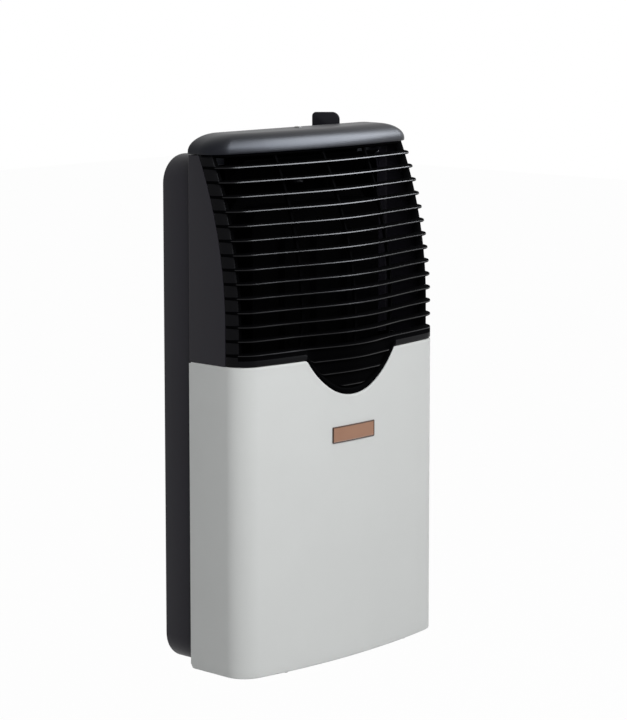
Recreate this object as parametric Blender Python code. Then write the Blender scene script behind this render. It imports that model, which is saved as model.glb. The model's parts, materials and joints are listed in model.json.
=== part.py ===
# Wall-hung gas heater with a balanced flue.
# X runs to the right seen from the room, Y runs into the wall, Z runs up.
# Heights below are measured from the bottom edge of the cabinet. The finished heater is then
# lowered, so that the world origin is the middle of its back face, in the plane of the wall.

import math

import bmesh
import bpy
from mathutils import Vector

# Driving dimensions, in metres

# Cabinet: the pale cover, the side panels, the grille and the cap share this plan
CABINET_WIDTH = 0.330
FRONT_REACH = 0.1454
CABINET_REAR = 0.0472
BOW_RADIUS = 0.800
CORNER_RADIUS = 0.0285
COVER_HEIGHT = 0.351
CABINET_SHEET = 0.0010
RETURN_WIDTH = 0.0140
GAP = 0.0003

# Pale cover: hem round its top edge, scooped cut-out for the grille's tongue
HEM_THICKNESS = 0.0024
HEM_HEIGHT = 0.0090
EDGE_ROUND = 0.0012
BOTTOM_RETURN = 0.0100
COVER_BRACKET_X = 0.100
REAR_FOOT_ROUND = 0.0040
SCOOP_DEPTH = 0.0458
SCOOP_RADIUS = 0.0703
SCOOP_RADIUS_ANGLE = math.radians(30)
SCOOP_FLANK_RADIUS = 0.1130
SCOOP_FILLET = 0.0040

# Brow: above this height the cabinet's front curves back in one arc
BROW_START = 0.394
BROW_RADIUS = 0.458

# Grille
FIN_COUNT = 17
TONGUE_FINS = 3
FIRST_FIN_RISE = 0.00405
LAST_FIN_DROP = 0.01525
FIN_THICKNESS = 0.0032
FIN_ROUND = 0.0009
FIN_DEPTH = 0.0130
FIN_STAND = 0.0050
GRILLE_WALL = 0.0025
GRILLE_LAP = 0.0060
RIM_BAND = 0.0075
RIM_BLEND = 0.0100
FIN_END_RAMP = 0.0040
EDGE_RAMP = 0.0020
SLOT_CORNER_STEPS = 3
SLOT_WALL_TURN = math.radians(4)
RIB_OFFSET = 0.0750
RIB_WIDTH = 0.0030
RIB_RECESS = 0.0090
SEAM_GAP = 0.0010
BELLY_RISE = 0.0125
BELLY_HEIGHT = 0.383
BELLY_DROP = 0.075
BELLY_HALF_WIDTH = 0.104
BELLY_WIDEST = 0.125

# Cap
CAP_LIP_HEIGHT = 0.584
CAP_RISE = 0.0215
CAP_LIP_WALL = 0.0026
CAP_ROUND_INSET = 0.0310
CAP_WALL = 0.0022
CAP_SETBACK = 0.0015
CAP_CORNER_RADIUS = 0.0270
CAP_CORNER_TAPER = 0.6
CAP_LEAST_CORNER = 0.008
CAP_SKIRT = 0.0150
CAP_SKIRT_HALF_WIDTH = 0.1480
CAP_SCREW_INSET = 0.0110
CAP_SCREW_RADIUS = 0.0040

# Blank plate on the cover
PLATE_WIDTH = 0.070
PLATE_HEIGHT = 0.0188
PLATE_BOTTOM = 0.2523
PLATE_THICKNESS = 0.0014
PLATE_RIM = 0.0012
PLATE_RIM_RISE = 0.0004

# Rear casing, a little narrower than the cabinet
CASING_STEP = 0.0055
CASING_HEIGHT = 0.579
CASING_CORNER = 0.032
CASING_SHEET = 0.0012
CASING_FLANGE = 0.0100
WALL_HOLE_RADIUS = 0.0040
WALL_HOLE_X = 0.110
WALL_HOLE_INSET = 0.036

# Combustion chamber: as wide as the burner and the room at its ends
BURNER_LENGTH = 0.170
BURNER_END_ROOM = 0.020
CHAMBER_BOTTOM = 0.080
CHAMBER_HEIGHT = 0.440
CHAMBER_CORNER = 0.018
CHAMBER_BACK = 0.0285
CHAMBER_SPLIT = 0.0580
CHAMBER_FRONT = 0.0880
CHAMBER_SHEET = 0.0010
CHAMBER_FLANGE = 0.0120
GASKET_THICKNESS = 0.0010
MOUNT_WIDTH = 0.020
MOUNT_HEIGHTS = (0.160, 0.430)
MOUNT_CLEARANCE = 0.008
MOUNT_FOOT = 0.013
STRAP_THICKNESS = 0.0015
CHAMBER_RIB_COUNT = 3
CHAMBER_RIB_WIDTH = 0.022
CHAMBER_RIB_RISE = 0.006
CHAMBER_RIB_PITCH = 0.052
CHAMBER_SCREW_RADIUS = 0.0020
CHAMBER_SCREW_HEAD = 0.0040
WINDOW_HEIGHT = 0.122
WINDOW_RADIUS = 0.017

# Flue and air intake
FLUE_HEIGHT = 0.420
EXHAUST_RADIUS = 0.0315
AIR_RADIUS = 0.0500
DUCT_WALL = 0.0010
DUCT_STUB = 0.0200
DUCT_FLANGE = 0.0070
AIR_BOX_WIDTH = 0.120
AIR_BOX_BOTTOM = 0.088
AIR_BOX_TOP = 0.480
AIR_PORT_WIDTH = 0.080
AIR_PORT_HEIGHT = 0.024

# Burner and pilot
BURNER_RADIUS = 0.0110
BURNER_WALL = 0.0010
BURNER_SPIGOT_LENGTH = 0.0080
BURNER_SPIGOT_RADIUS = 0.0040
BURNER_HEIGHT = 0.110
BURNER_DEPTH = 0.0740
BURNER_PORTS = 8
BURNER_PORT_WIDTH = 0.0030
PILOT_DEPTH = 0.0490
PILOT_X = 0.060
PILOT_SPACING = 0.012

# Gas valve, its long control rod and the knob
CONTROL_X = 0.085
CONTROL_DEPTH = 0.0232
VALVE_BOTTOM = 0.028
VALVE_TOP = 0.062
VALVE_WIDTH = 0.052
VALVE_DEPTH = 0.030
VALVE_SEAT_HALF_WIDTH = 0.018
VALVE_FOOT = 0.010
ROD_RADIUS = 0.0030
PLUNGER_RADIUS = 0.0050
PLUNGER_STAND = 0.014
KNOB_TRAVEL = 0.0040
KNOB_RADIUS = 0.0230
KNOB_SKIRT_HEIGHT = 0.0110
KNOB_TOP = 0.6140
BLADE_THICKNESS = 0.0050
BLADE_WALL_ROUND = 0.0065
BLADE_POINTER_ROUND = 0.0095
RUNNING_CLEARANCE = 0.0003

# Piezo igniter
IGNITER_X = 0.035
IGNITER_RADIUS = 0.0080
IGNITER_LENGTH = 0.040
BUTTON_RADIUS = 0.0055
BUTTON_TRAVEL = 0.0060
BUTTON_TOP = 0.5925

# Deflector under the cap, and the straps that hold the cover's foot
DEFLECTOR_HALF_WIDTH = 0.110
DEFLECTOR_HEIGHT = 0.028
DEFLECTOR_REACH = 0.032
DEFLECTOR_RISE = 0.008
DEFLECTOR_SHEET = 0.0010
COVER_STRAP_HALF_WIDTH = 0.009
COVER_STRAP_HEIGHT = 0.016
COVER_STRAP_SETBACK = 0.0022

# Height of the world origin above the bottom edge
ORIGIN_HEIGHT = 0.290

HALF_WIDTH = CABINET_WIDTH / 2
FIRST_FIN_HEIGHT = COVER_HEIGHT - SCOOP_DEPTH + RIM_BAND + FIRST_FIN_RISE
FIN_PITCH = (CAP_LIP_HEIGHT - LAST_FIN_DROP - FIRST_FIN_HEIGHT) / (FIN_COUNT - 1)
CASING_WIDTH = CABINET_WIDTH - 2 * CASING_STEP
CHAMBER_WIDTH = BURNER_LENGTH + 2 * BURNER_END_ROOM
CASING_DEPTH = CABINET_REAR - GAP
ARC_STEPS = 5


# Scene, materials and small helpers

for old in list(bpy.data.objects):
    bpy.data.objects.remove(old, do_unlink=True)

root = bpy.data.objects.new("wall_origin", None)
root.location = (0.0, 0.0, -ORIGIN_HEIGHT)
bpy.context.scene.collection.objects.link(root)


def paint(name, colour, roughness, metallic=0.0):
    """A Principled material of one plain colour."""
    material = bpy.data.materials.new(name)
    material.use_nodes = True
    shader = material.node_tree.nodes["Principled BSDF"]
    shader.inputs["Base Color"].default_value = (*colour, 1.0)
    shader.inputs["Roughness"].default_value = roughness
    shader.inputs["Metallic"].default_value = metallic
    return material


def add_object(name, mesh, material, parent=root, place=(0.0, 0.0, 0.0)):
    """Link a mesh as a named sub-part, smooth where its faces meet softly."""
    mesh.materials.append(material)
    mesh.shade_smooth()
    mesh.set_sharp_from_angle(angle=math.radians(32))
    thing = bpy.data.objects.new(name, mesh)
    thing.parent = parent
    thing.location = place
    bpy.context.scene.collection.objects.link(thing)
    return thing


def mesh_from(bm, name):
    """Close a bmesh into a mesh with its faces pointing out."""
    bmesh.ops.recalc_face_normals(bm, faces=bm.faces)
    mesh = bpy.data.meshes.new(name)
    bm.to_mesh(mesh)
    bm.free()
    return mesh


def loft(bm, rings, capped=True):
    """Skin a chain of closed rings that all have the same number of points."""
    rows = [[bm.verts.new(point) for point in ring] for ring in rings]
    count = len(rows[0])
    for low, high in zip(rows, rows[1:]):
        for i in range(count):
            j = (i + 1) % count
            bm.faces.new((low[i], low[j], high[j], high[i]))
    if capped:
        bm.faces.new(rows[0])
        bm.faces.new(rows[-1])
    else:
        for i in range(count):
            j = (i + 1) % count
            bm.faces.new((rows[-1][i], rows[-1][j], rows[0][j], rows[0][i]))


def turned(bm, profile, centre, axis, sides=16, turn=0.0):
    """Turn (radius, height) points round an axis; a ring shape starts and ends on the same point."""
    across = {"X": (1, 2, 0), "Y": (2, 0, 1), "Z": (0, 1, 2)}[axis]
    closed = profile[0] == profile[-1]
    outline = profile[:-1] if closed else profile
    rings = []
    for radius, height in outline:
        ring = []
        for k in range(sides if radius > 0 else 1):
            angle = 2 * math.pi * (k + turn) / sides
            point = Vector(centre)
            point[across[0]] += radius * math.cos(angle)
            point[across[1]] += radius * math.sin(angle)
            point[across[2]] += height
            ring.append(bm.verts.new(point))
        rings.append(ring)
    pairs = list(zip(rings, rings[1:]))
    if closed:
        pairs.append((rings[-1], rings[0]))
    for low, high in pairs:
        for k in range(sides):
            n = (k + 1) % sides
            if len(low) == 1:
                bm.faces.new((low[0], high[n], high[k]))
            elif len(high) == 1:
                bm.faces.new((low[k], low[n], high[0]))
            else:
                bm.faces.new((low[k], low[n], high[n], high[k]))
    if not closed:
        for ring in (rings[0], rings[-1]):
            if len(ring) > 1:
                bm.faces.new(ring)


def pin(radius, low, high):
    """Profile of a plain solid pin between two heights."""
    return [(0.0, low), (radius, low), (radius, high), (0.0, high)]


def ring_profile(inner, outer, low, high):
    """Profile of a plain ring."""
    return [(inner, low), (outer, low), (outer, high), (inner, high), (inner, low)]


def slab(bm, outline, axis, low, high):
    """Extrude a flat outline along an axis. The outline holds the other two coordinates."""
    def place(point, level):
        if axis == "X":
            return Vector((level, point[0], point[1]))
        if axis == "Y":
            return Vector((point[0], level, point[1]))
        return Vector((point[0], point[1], level))
    loft(bm, [[place(p, low) for p in outline], [place(p, high) for p in outline]])


def box_outline(left, right, low, high):
    """Four corners of a rectangle."""
    return [(left, low), (right, low), (right, high), (left, high)]


def round_box(left, right, low, high, radius, steps=ARC_STEPS):
    """Rectangle with round corners, as a closed outline."""
    centres = [(right - radius, low + radius, -90), (right - radius, high - radius, 0),
               (left + radius, high - radius, 90), (left + radius, low + radius, 180)]
    outline = []
    for cx, cy, start in centres:
        for k in range(steps + 1):
            angle = math.radians(start + 90 * k / steps)
            outline.append((cx + radius * math.cos(angle), cy + radius * math.sin(angle)))
    return outline


def piece(name, material, build, **place):
    """Run a function that fills a bmesh, and add the result as a sub-part."""
    bm = bmesh.new()
    build(bm)
    return add_object(name, mesh_from(bm, name), material, **place)


def boolean(target, name, build, operation="DIFFERENCE"):
    """Cut a hidden shape out of a sub-part, or join one to it."""
    tool = piece(name, guide_material, build, parent=target.parent, place=target.location)
    tool.hide_render = True
    tool.display_type = "WIRE"
    modifier = target.modifiers.new(name, "BOOLEAN")
    modifier.operation = operation
    modifier.solver = "EXACT"
    modifier.object = tool
    return modifier


def tube(name, material, route, radius, resolution=1, steps=4):
    """A round tube along a smooth curve through hand-placed points."""
    points = smooth_route(route, steps)
    curve = bpy.data.curves.new(name, "CURVE")
    curve.dimensions = "3D"
    curve.bevel_depth = radius
    curve.bevel_resolution = resolution
    curve.use_fill_caps = True
    curve.materials.append(material)
    spline = curve.splines.new("POLY")
    spline.points.add(len(points) - 1)
    for slot, point in zip(spline.points, points):
        slot.co = (*point, 1.0)
    thing = bpy.data.objects.new(name, curve)
    thing.parent = root
    bpy.context.scene.collection.objects.link(thing)
    return thing


def smooth_route(route, steps):
    """Points on a Catmull-Rom curve through the route, straight at both ends."""
    knots = [Vector(p) for p in route]
    points = [knots[0]]
    for k in range(1, len(knots) - 2):
        a, b, c, d = knots[k - 1:k + 3]
        for s in range(steps + 1):
            t = s / steps
            if s == 0 and k > 1:
                continue
            points.append(0.5 * (2 * b + (c - a) * t + (2 * a - 5 * b + 4 * c - d) * t * t
                                 + (3 * b - a - 3 * c + d) * t ** 3))
    points.append(knots[-1])
    return points


def clamp01(value):
    return min(1.0, max(0.0, value))


def mix(a, b, t):
    return a + (b - a) * t


# Materials

guide_material = paint("guide", (0.8, 0.2, 0.2), 0.8)
charcoal = paint("charcoal_paint", (0.028, 0.027, 0.032), 0.42)
pale = paint("pale_enamel", (0.60, 0.61, 0.61), 0.32)
black = paint("black_moulding", (0.008, 0.008, 0.009), 0.38)
cap_grey = paint("cap_blue_grey", (0.050, 0.054, 0.070), 0.36)
copper = paint("copper_plate", (0.42, 0.20, 0.11), 0.35, 1.0)
enamel = paint("chamber_enamel", (0.040, 0.040, 0.042), 0.6)
steel = paint("zinc_steel", (0.45, 0.45, 0.44), 0.4, 1.0)
aluminium = paint("aluminised_steel", (0.60, 0.61, 0.62), 0.35, 1.0)
brass = paint("brass", (0.60, 0.42, 0.16), 0.3, 1.0)
copper_tube = paint("copper_tube", (0.55, 0.27, 0.17), 0.3, 1.0)
fibre = paint("sealing_fibre", (0.70, 0.68, 0.62), 0.9)
mica = paint("mica", (0.62, 0.58, 0.48), 0.15)
ceramic = paint("ceramic", (0.80, 0.79, 0.75), 0.25)
dark_wire = paint("silicone_lead", (0.030, 0.028, 0.028), 0.5)


# Cabinet plan and profile

def plan_point(angle, half_width=HALF_WIDTH, front=-FRONT_REACH, corner=CORNER_RADIUS):
    """Point and outward normal of the bowed plan; angle 0 is the middle, 90 degrees a side."""
    corner_x = half_width - corner
    bow_centre = front + BOW_RADIUS
    corner_y = bow_centre - math.sqrt((BOW_RADIUS - corner) ** 2 - corner_x ** 2)
    turn = abs(angle)
    normal = Vector((math.sin(angle), -math.cos(angle), 0.0))
    if turn <= math.asin(corner_x / (BOW_RADIUS - corner)):
        return Vector((0.0, bow_centre, 0.0)) + BOW_RADIUS * normal, normal
    centre = Vector((math.copysign(corner_x, angle), corner_y, 0.0))
    return centre + corner * normal, normal


def corner_angle(half_width=HALF_WIDTH, corner=CORNER_RADIUS):
    """Angle at which the bow ends and the corner starts."""
    return math.asin((half_width - corner) / (BOW_RADIUS - corner))


def angle_at(x):
    """Angle of the bow's point at a given x."""
    return math.asin(x / BOW_RADIUS)


def corner_angles(steps, half_width=HALF_WIDTH, corner=CORNER_RADIUS):
    """Angles round the right corner, without the first, where the bow ends."""
    start = corner_angle(half_width, corner)
    return [mix(start, math.pi / 2, (k + 1) / steps) for k in range(steps)]


def mirrored(values):
    """Values from the middle outwards, given for both sides, left to right."""
    middle = [0.0] if values[0] == 0.0 else []
    right = [v for v in values if v > 0.0]
    return [-v for v in reversed(right)] + middle + right


def brow(z):
    """How far the front has curved back at a height."""
    rise = max(0.0, z - BROW_START)
    return BROW_RADIUS - math.sqrt(BROW_RADIUS ** 2 - rise ** 2)


def scoop_corner():
    """Angle and half width at which the scoop's flank would reach the cover's top edge."""
    inner_rise = SCOOP_RADIUS * (1 - math.cos(SCOOP_RADIUS_ANGLE))
    drop = (SCOOP_DEPTH - inner_rise) / SCOOP_FLANK_RADIUS
    angle = math.acos(math.cos(SCOOP_RADIUS_ANGLE) - drop)
    half = (SCOOP_RADIUS * math.sin(SCOOP_RADIUS_ANGLE)
            + SCOOP_FLANK_RADIUS * (math.sin(angle) - math.sin(SCOOP_RADIUS_ANGLE)))
    return angle, half


SCOOP_END_ANGLE, SCOOP_HALF_WIDTH = scoop_corner()
SCOOP_BOTTOM = COVER_HEIGHT - SCOOP_DEPTH
FILLET_REACH = SCOOP_FILLET * math.tan(SCOOP_END_ANGLE / 2)
FILLET_CENTRE_X = SCOOP_HALF_WIDTH + FILLET_REACH


def scoop_height(x):
    """Height of the cover's top edge at x, with the scoop in its middle."""
    x = abs(x)
    inner_half = SCOOP_RADIUS * math.sin(SCOOP_RADIUS_ANGLE)
    if x >= FILLET_CENTRE_X:
        return COVER_HEIGHT
    if x >= FILLET_CENTRE_X - SCOOP_FILLET * math.sin(SCOOP_END_ANGLE):
        side = FILLET_CENTRE_X - x
        return COVER_HEIGHT - SCOOP_FILLET + math.sqrt(SCOOP_FILLET ** 2 - side ** 2)
    if x <= inner_half:
        return SCOOP_BOTTOM + SCOOP_RADIUS - math.sqrt(SCOOP_RADIUS ** 2 - x ** 2)
    start = SCOOP_BOTTOM + SCOOP_RADIUS * (1 - math.cos(SCOOP_RADIUS_ANGLE))
    side = (x - inner_half) / SCOOP_FLANK_RADIUS + math.sin(SCOOP_RADIUS_ANGLE)
    return start + SCOOP_FLANK_RADIUS * (math.cos(SCOOP_RADIUS_ANGLE) - math.sqrt(1 - side ** 2))


def scoop_stations():
    """Half of the x positions that draw the scoop: two arcs and a fillet."""
    inner_half = SCOOP_RADIUS * math.sin(SCOOP_RADIUS_ANGLE)
    inner = [SCOOP_RADIUS * math.sin(SCOOP_RADIUS_ANGLE * k / 4) for k in range(5)]
    flank = []
    for k in range(1, 6):
        angle = mix(SCOOP_RADIUS_ANGLE, SCOOP_END_ANGLE, k / 5)
        flank.append(inner_half + SCOOP_FLANK_RADIUS * (math.sin(angle) - math.sin(SCOOP_RADIUS_ANGLE)))
    fillet_start = FILLET_CENTRE_X - SCOOP_FILLET * math.sin(SCOOP_END_ANGLE)
    flank = [x for x in flank if x < fillet_start - SCOOP_FILLET / 2]
    fillet = [FILLET_CENTRE_X - SCOOP_FILLET * math.sin(SCOOP_END_ANGLE * k / 3) for k in (3, 2, 1, 0)]
    return inner + flank + fillet


def sheet(bm, outer, inner, present=lambda i, j: True):
    """Closed body between two grids of points, with holes where a cell isn't present.

    Points that coincide within a grid share one vertex, so a row may run out into a point.
    """
    layers = []
    for grid in (outer, inner):
        seen = {}
        ids = []
        for column in grid:
            row = []
            for point in column:
                key = tuple(round(c, 7) for c in point)
                if key not in seen:
                    seen[key] = bm.verts.new(point)
                row.append(seen[key])
            ids.append(row)
        layers.append(ids)
    front, back = layers
    partner = {}
    edges = {}
    for i in range(len(outer) - 1):
        for j in range(len(outer[0]) - 1):
            if not present(i, j):
                continue
            corners = ((i, j), (i + 1, j), (i + 1, j + 1), (i, j + 1))
            ring = []
            for a, b in corners:
                partner[front[a][b]] = back[a][b]
                if front[a][b] not in ring:
                    ring.append(front[a][b])
            if len(ring) < 3:
                continue
            bm.faces.new(ring)
            for a, b in zip(ring, ring[1:] + ring[:1]):
                key = frozenset((a, b))
                edges[key] = edges.get(key, 0) + 1
            ring = []
            for a, b in corners:
                if back[a][b] not in ring:
                    ring.append(back[a][b])
            if len(ring) >= 3:
                bm.faces.new(ring)
    for key, count in edges.items():
        if count == 1:
            a, b = key
            ring = [a, b, partner[b]]
            if partner[a] is not partner[b]:
                ring.append(partner[a])
            bm.faces.new(ring)


# Cabinet pieces

def cover_stations():
    """Plan stations of the pale cover: point, inward direction, foot height and bottom return."""
    half = []
    front_x = scoop_stations() + [0.095, 0.118]
    angles = [angle_at(x) for x in front_x] + [corner_angle()] + corner_angles(ARC_STEPS)
    for angle in mirrored(angles):
        point, normal = plan_point(angle)
        flat = abs(angle) > math.pi / 2 - 0.01
        half.append((point, -normal, 0.0, EDGE_ROUND if flat else BOTTOM_RETURN))
    for side in (-1, 1):
        edge = []
        for turn in (0.0, math.radians(20)):
            y = -CABINET_REAR - REAR_FOOT_ROUND * (1 - math.sin(turn))
            foot = REAR_FOOT_ROUND * (1 - math.cos(turn))
            edge.append((Vector((side * HALF_WIDTH, y, 0)), Vector((-side, 0, 0)), foot, EDGE_ROUND))
        corner = Vector((side * HALF_WIDTH, -CABINET_REAR, 0))
        edge.append((corner, Vector((-side, -1, 0)), REAR_FOOT_ROUND, EDGE_ROUND))
        end = Vector((side * (HALF_WIDTH - RETURN_WIDTH), -CABINET_REAR, 0))
        edge.append((end, Vector((0, -1, 0)), REAR_FOOT_ROUND, EDGE_ROUND))
        half = half + edge if side > 0 else list(reversed(edge)) + half
    return half


def build_cover(bm):
    outer, inner = [], []
    for point, inward, foot, bottom_return in cover_stations():
        front_only = abs(point.x) < FILLET_CENTRE_X and point.y < -CABINET_REAR - CORNER_RADIUS
        top = scoop_height(point.x) if front_only else COVER_HEIGHT
        def at(inset, z):
            return point + inward * inset + Vector((0, 0, z))
        outer.append([at(bottom_return, foot), at(EDGE_ROUND, foot), at(0.0, foot + EDGE_ROUND),
                      at(0.0, top - HEM_HEIGHT), at(0.0, top - EDGE_ROUND), at(EDGE_ROUND, top)])
        inner.append([at(bottom_return, foot + CABINET_SHEET), at(EDGE_ROUND, foot + CABINET_SHEET),
                      at(CABINET_SHEET, foot + EDGE_ROUND + CABINET_SHEET / 2),
                      at(CABINET_SHEET, top - HEM_HEIGHT), at(HEM_THICKNESS, top - HEM_HEIGHT),
                      at(HEM_THICKNESS, top)])
    sheet(bm, outer, inner)


def build_side_panel(side):
    """Flat upper side: an L in plan whose front edge follows the grille's seam."""
    def build(bm):
        seam_y = plan_point(math.pi / 2)[0].y
        low = COVER_HEIGHT + GAP
        high = CAP_LIP_HEIGHT - SEAM_GAP
        steps = 10
        heights = [low] + [mix(BROW_START, high, k / steps) for k in range(steps + 1)]
        rings = []
        for z in heights:
            front = seam_y + brow(z) + SEAM_GAP / 2
            plan = [(HALF_WIDTH, -CABINET_REAR), (HALF_WIDTH, front),
                    (HALF_WIDTH - CABINET_SHEET, front),
                    (HALF_WIDTH - CABINET_SHEET, -CABINET_REAR - CABINET_SHEET),
                    (HALF_WIDTH - RETURN_WIDTH, -CABINET_REAR - CABINET_SHEET),
                    (HALF_WIDTH - RETURN_WIDTH, -CABINET_REAR)]
            rings.append([Vector((side * x, y, z)) for x, y in plan])
        loft(bm, rings)
    return build


def belly(x, z):
    """Forward swell of the grille: tallest above the tongue, fading to the cap and to the tip."""
    if z >= BELLY_HEIGHT:
        along = clamp01((z - BELLY_HEIGHT) / (CAP_LIP_HEIGHT - BELLY_HEIGHT))
        height = (1 - along ** 2) ** 1.2
    else:
        height = 0.5 + 0.5 * math.cos(math.pi * clamp01((BELLY_HEIGHT - z) / BELLY_DROP))
    half = min(BELLY_WIDEST, BELLY_HALF_WIDTH + z - BELLY_HEIGHT)
    across = clamp01(abs(x) / max(half, FIN_DEPTH))
    return BELLY_RISE * height * math.cos(math.pi / 2 * across) ** 2


def slot_end():
    """Angle at which the slots end, a steep wall short of the corner band's edge."""
    return corner_angles(ARC_STEPS)[SLOT_CORNER_STEPS - 1] - SLOT_WALL_TURN


def grille_stations():
    """Angles from seam to seam; rib edges and slot ends fall on stations.

    The slots run round the first few facets of each corner and end in a steep wall.
    """
    ribs = [RIB_WIDTH / 2, RIB_OFFSET - RIB_WIDTH / 2, RIB_OFFSET + RIB_WIDTH / 2]
    between = [mix(ribs[0], ribs[1], k / 5) for k in range(1, 5)]
    outside = [mix(ribs[2], plan_point(corner_angle())[0].x, k / 3) for k in range(1, 3)]
    front = ribs[:1] + between + ribs[1:] + outside
    seam = math.pi / 2 - SEAM_GAP / 2 / CORNER_RADIUS
    corner = corner_angles(ARC_STEPS)[:-1] + [seam]
    corner.insert(SLOT_CORNER_STEPS - 1, slot_end())
    return mirrored([angle_at(x) for x in front] + [corner_angle()] + corner)


def grille_levels(fins):
    """Row heights from the foot to the top; the first five follow the cover's rim."""
    half_fin = FIN_THICKNESS / 2
    levels = [(-GRILLE_LAP, "tuck"), (2 * GAP, "tuck"), (2 * GAP + EDGE_RAMP, "rim"),
              (RIM_BAND - EDGE_RAMP / 2, "rim"), (RIM_BAND, "base")]
    slots = []
    for k, z in enumerate(fins):
        if k > TONGUE_FINS:
            slots.append(len(levels) - 1)
        levels += [(z - half_fin, "base"), (z - half_fin + FIN_ROUND, "nose"),
                   (z + half_fin - FIN_ROUND, "nose"), (z + half_fin, "base")]
    top = CAP_LIP_HEIGHT
    levels += [(top - EDGE_RAMP * 2, "base"), (top - EDGE_RAMP, "tuck"), (top + GRILLE_LAP, "tuck")]
    return levels, slots


def build_grille(bm):
    """Louvres, corner bands, tongue and upright ribs as one moulding."""
    angles = grille_stations()
    fins = [FIRST_FIN_HEIGHT + FIN_PITCH * k for k in range(FIN_COUNT)]
    levels, slots = grille_levels(fins)
    low_slot = fins[TONGUE_FINS]
    high_slot = fins[-1] + FIN_THICKNESS
    outer, inner = [], []
    for angle in angles:
        point, normal = plan_point(angle)
        in_slots = abs(angle) <= slot_end() + SLOT_WALL_TURN / 2
        fade = clamp01((math.pi / 2 - abs(angle)) / math.radians(45))
        base = FIN_STAND * fade * fade * (3 - 2 * fade)
        rim = scoop_height(point.x) if in_slots else COVER_HEIGHT
        straight = clamp01((rim - COVER_HEIGHT + RIM_BLEND) / RIM_BLEND)
        tucked_high = CAP_WALL + CAP_SETBACK * (1 + math.cos(angle))
        column, lining = [], []
        for index, (level, kind) in enumerate(levels):
            follows = index < 5
            z = rim + level if follows else max(level, rim + RIM_BAND)
            slotted = in_slots and low_slot < z < high_slot and not follows
            depth = FIN_DEPTH if slotted else base + GRILLE_WALL
            inset = RIB_RECESS if slotted else base
            if kind == "tuck":
                inset = HEM_THICKNESS + GAP if follows else tucked_high
                depth = inset + GRILLE_WALL
            elif kind == "rim":
                inset = 0.0
            elif kind == "nose":
                inset = base * (1 - clamp01((z - rim - RIM_BAND) / FIN_END_RAMP))
            if kind != "tuck" and z < low_slot + FIN_THICKNESS / 2:
                inset *= 1 - straight
            def at(height, into):
                swell = 0.0 if kind == "tuck" else belly(point.x, height)
                return point - normal * into + Vector((0.0, brow(height) - swell, height))
            column.append(at(z, inset))
            if kind == "nose":
                other = levels[index - 1] if levels[index - 1][1] == "base" else levels[index + 1]
                z = max(other[0], rim + RIM_BAND)
            lining.append(at(z, depth))
        outer.append(column)
        inner.append(lining)
    xs = [plan_point(a)[0].x for a in angles]

    def present(i, j):
        if j not in slots:
            return True
        middle = abs(xs[i] + xs[i + 1]) / 2
        rib = min(middle, abs(middle - RIB_OFFSET)) < RIB_WIDTH / 2
        return rib or abs(angles[i] + angles[i + 1]) / 2 > slot_end()

    sheet(bm, outer, inner, present)


def cap_ring(inset, rise, wall, skirt):
    """Closed plan ring of the cap at one step of its rounding."""
    rear = -CABINET_REAR - wall
    front = -FRONT_REACH + brow(CAP_LIP_HEIGHT) + CAP_SETBACK
    half_width = HALF_WIDTH - inset
    corner = max(CAP_CORNER_RADIUS - CAP_CORNER_TAPER * inset, CAP_LEAST_CORNER)
    angles = [angle_at(x) for x in (0.0, 0.022, 0.044, 0.066, 0.088, 0.108)]
    ring = []
    bend = corner_angle(half_width, corner)
    for angle in mirrored(angles + [bend] + corner_angles(ARC_STEPS, half_width, corner)):
        ring.append(plan_point(angle, half_width, front + inset, corner)[0] + Vector((0, 0, rise)))
    rear_half = min(CAP_SKIRT_HALF_WIDTH, half_width - 0.004)
    for x, low in ((half_width, False), (rear_half, False), (rear_half - CAP_WALL, True),
                   (-rear_half + CAP_WALL, True), (-rear_half, False), (-half_width, False)):
        ring.append(Vector((x, rear, rise - (skirt if low else 0.0))))
    return ring


def build_cap(bm):
    """Cap shell: a straight lip, then a quarter round that rises to a flat top."""
    steps = 6
    round_rise = CAP_RISE - CAP_LIP_WALL
    rings = []
    for k in range(steps, -1, -1):
        angle = math.pi / 2 * k / steps
        inset = CAP_ROUND_INSET * (1 - math.cos(angle))
        rise = CAP_LIP_HEIGHT + CAP_LIP_WALL + round_rise * math.sin(angle)
        rings.append(cap_ring(inset, rise, 0.0, 0.0))
    rings.append(cap_ring(0.0, CAP_LIP_HEIGHT, 0.0, CAP_SKIRT))
    rings.append(cap_ring(CAP_WALL, CAP_LIP_HEIGHT, CAP_WALL, CAP_SKIRT))
    for k in range(0, steps + 1, 2):
        angle = math.pi / 2 * k / steps
        inset = CAP_WALL + (CAP_ROUND_INSET - CAP_WALL) * (1 - math.cos(angle))
        rise = CAP_LIP_HEIGHT + CAP_LIP_WALL + (round_rise - CAP_WALL) * math.sin(angle)
        rings.append(cap_ring(inset, rise, CAP_WALL, 0.0))
    loft(bm, rings)


def build_cap_screw(bm):
    top = CAP_LIP_HEIGHT + CAP_RISE + GAP
    profile = [(0.0, 0.0004), (CAP_SCREW_RADIUS * 0.45, 0.0004), (CAP_SCREW_RADIUS * 0.55, 0.0011),
               (CAP_SCREW_RADIUS * 0.8, 0.0010), (CAP_SCREW_RADIUS, 0.0004),
               (CAP_SCREW_RADIUS, 0.0), (0.0, 0.0)]
    turned(bm, profile, (0, -CABINET_REAR - CAP_SCREW_INSET, top), "Z")


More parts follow.
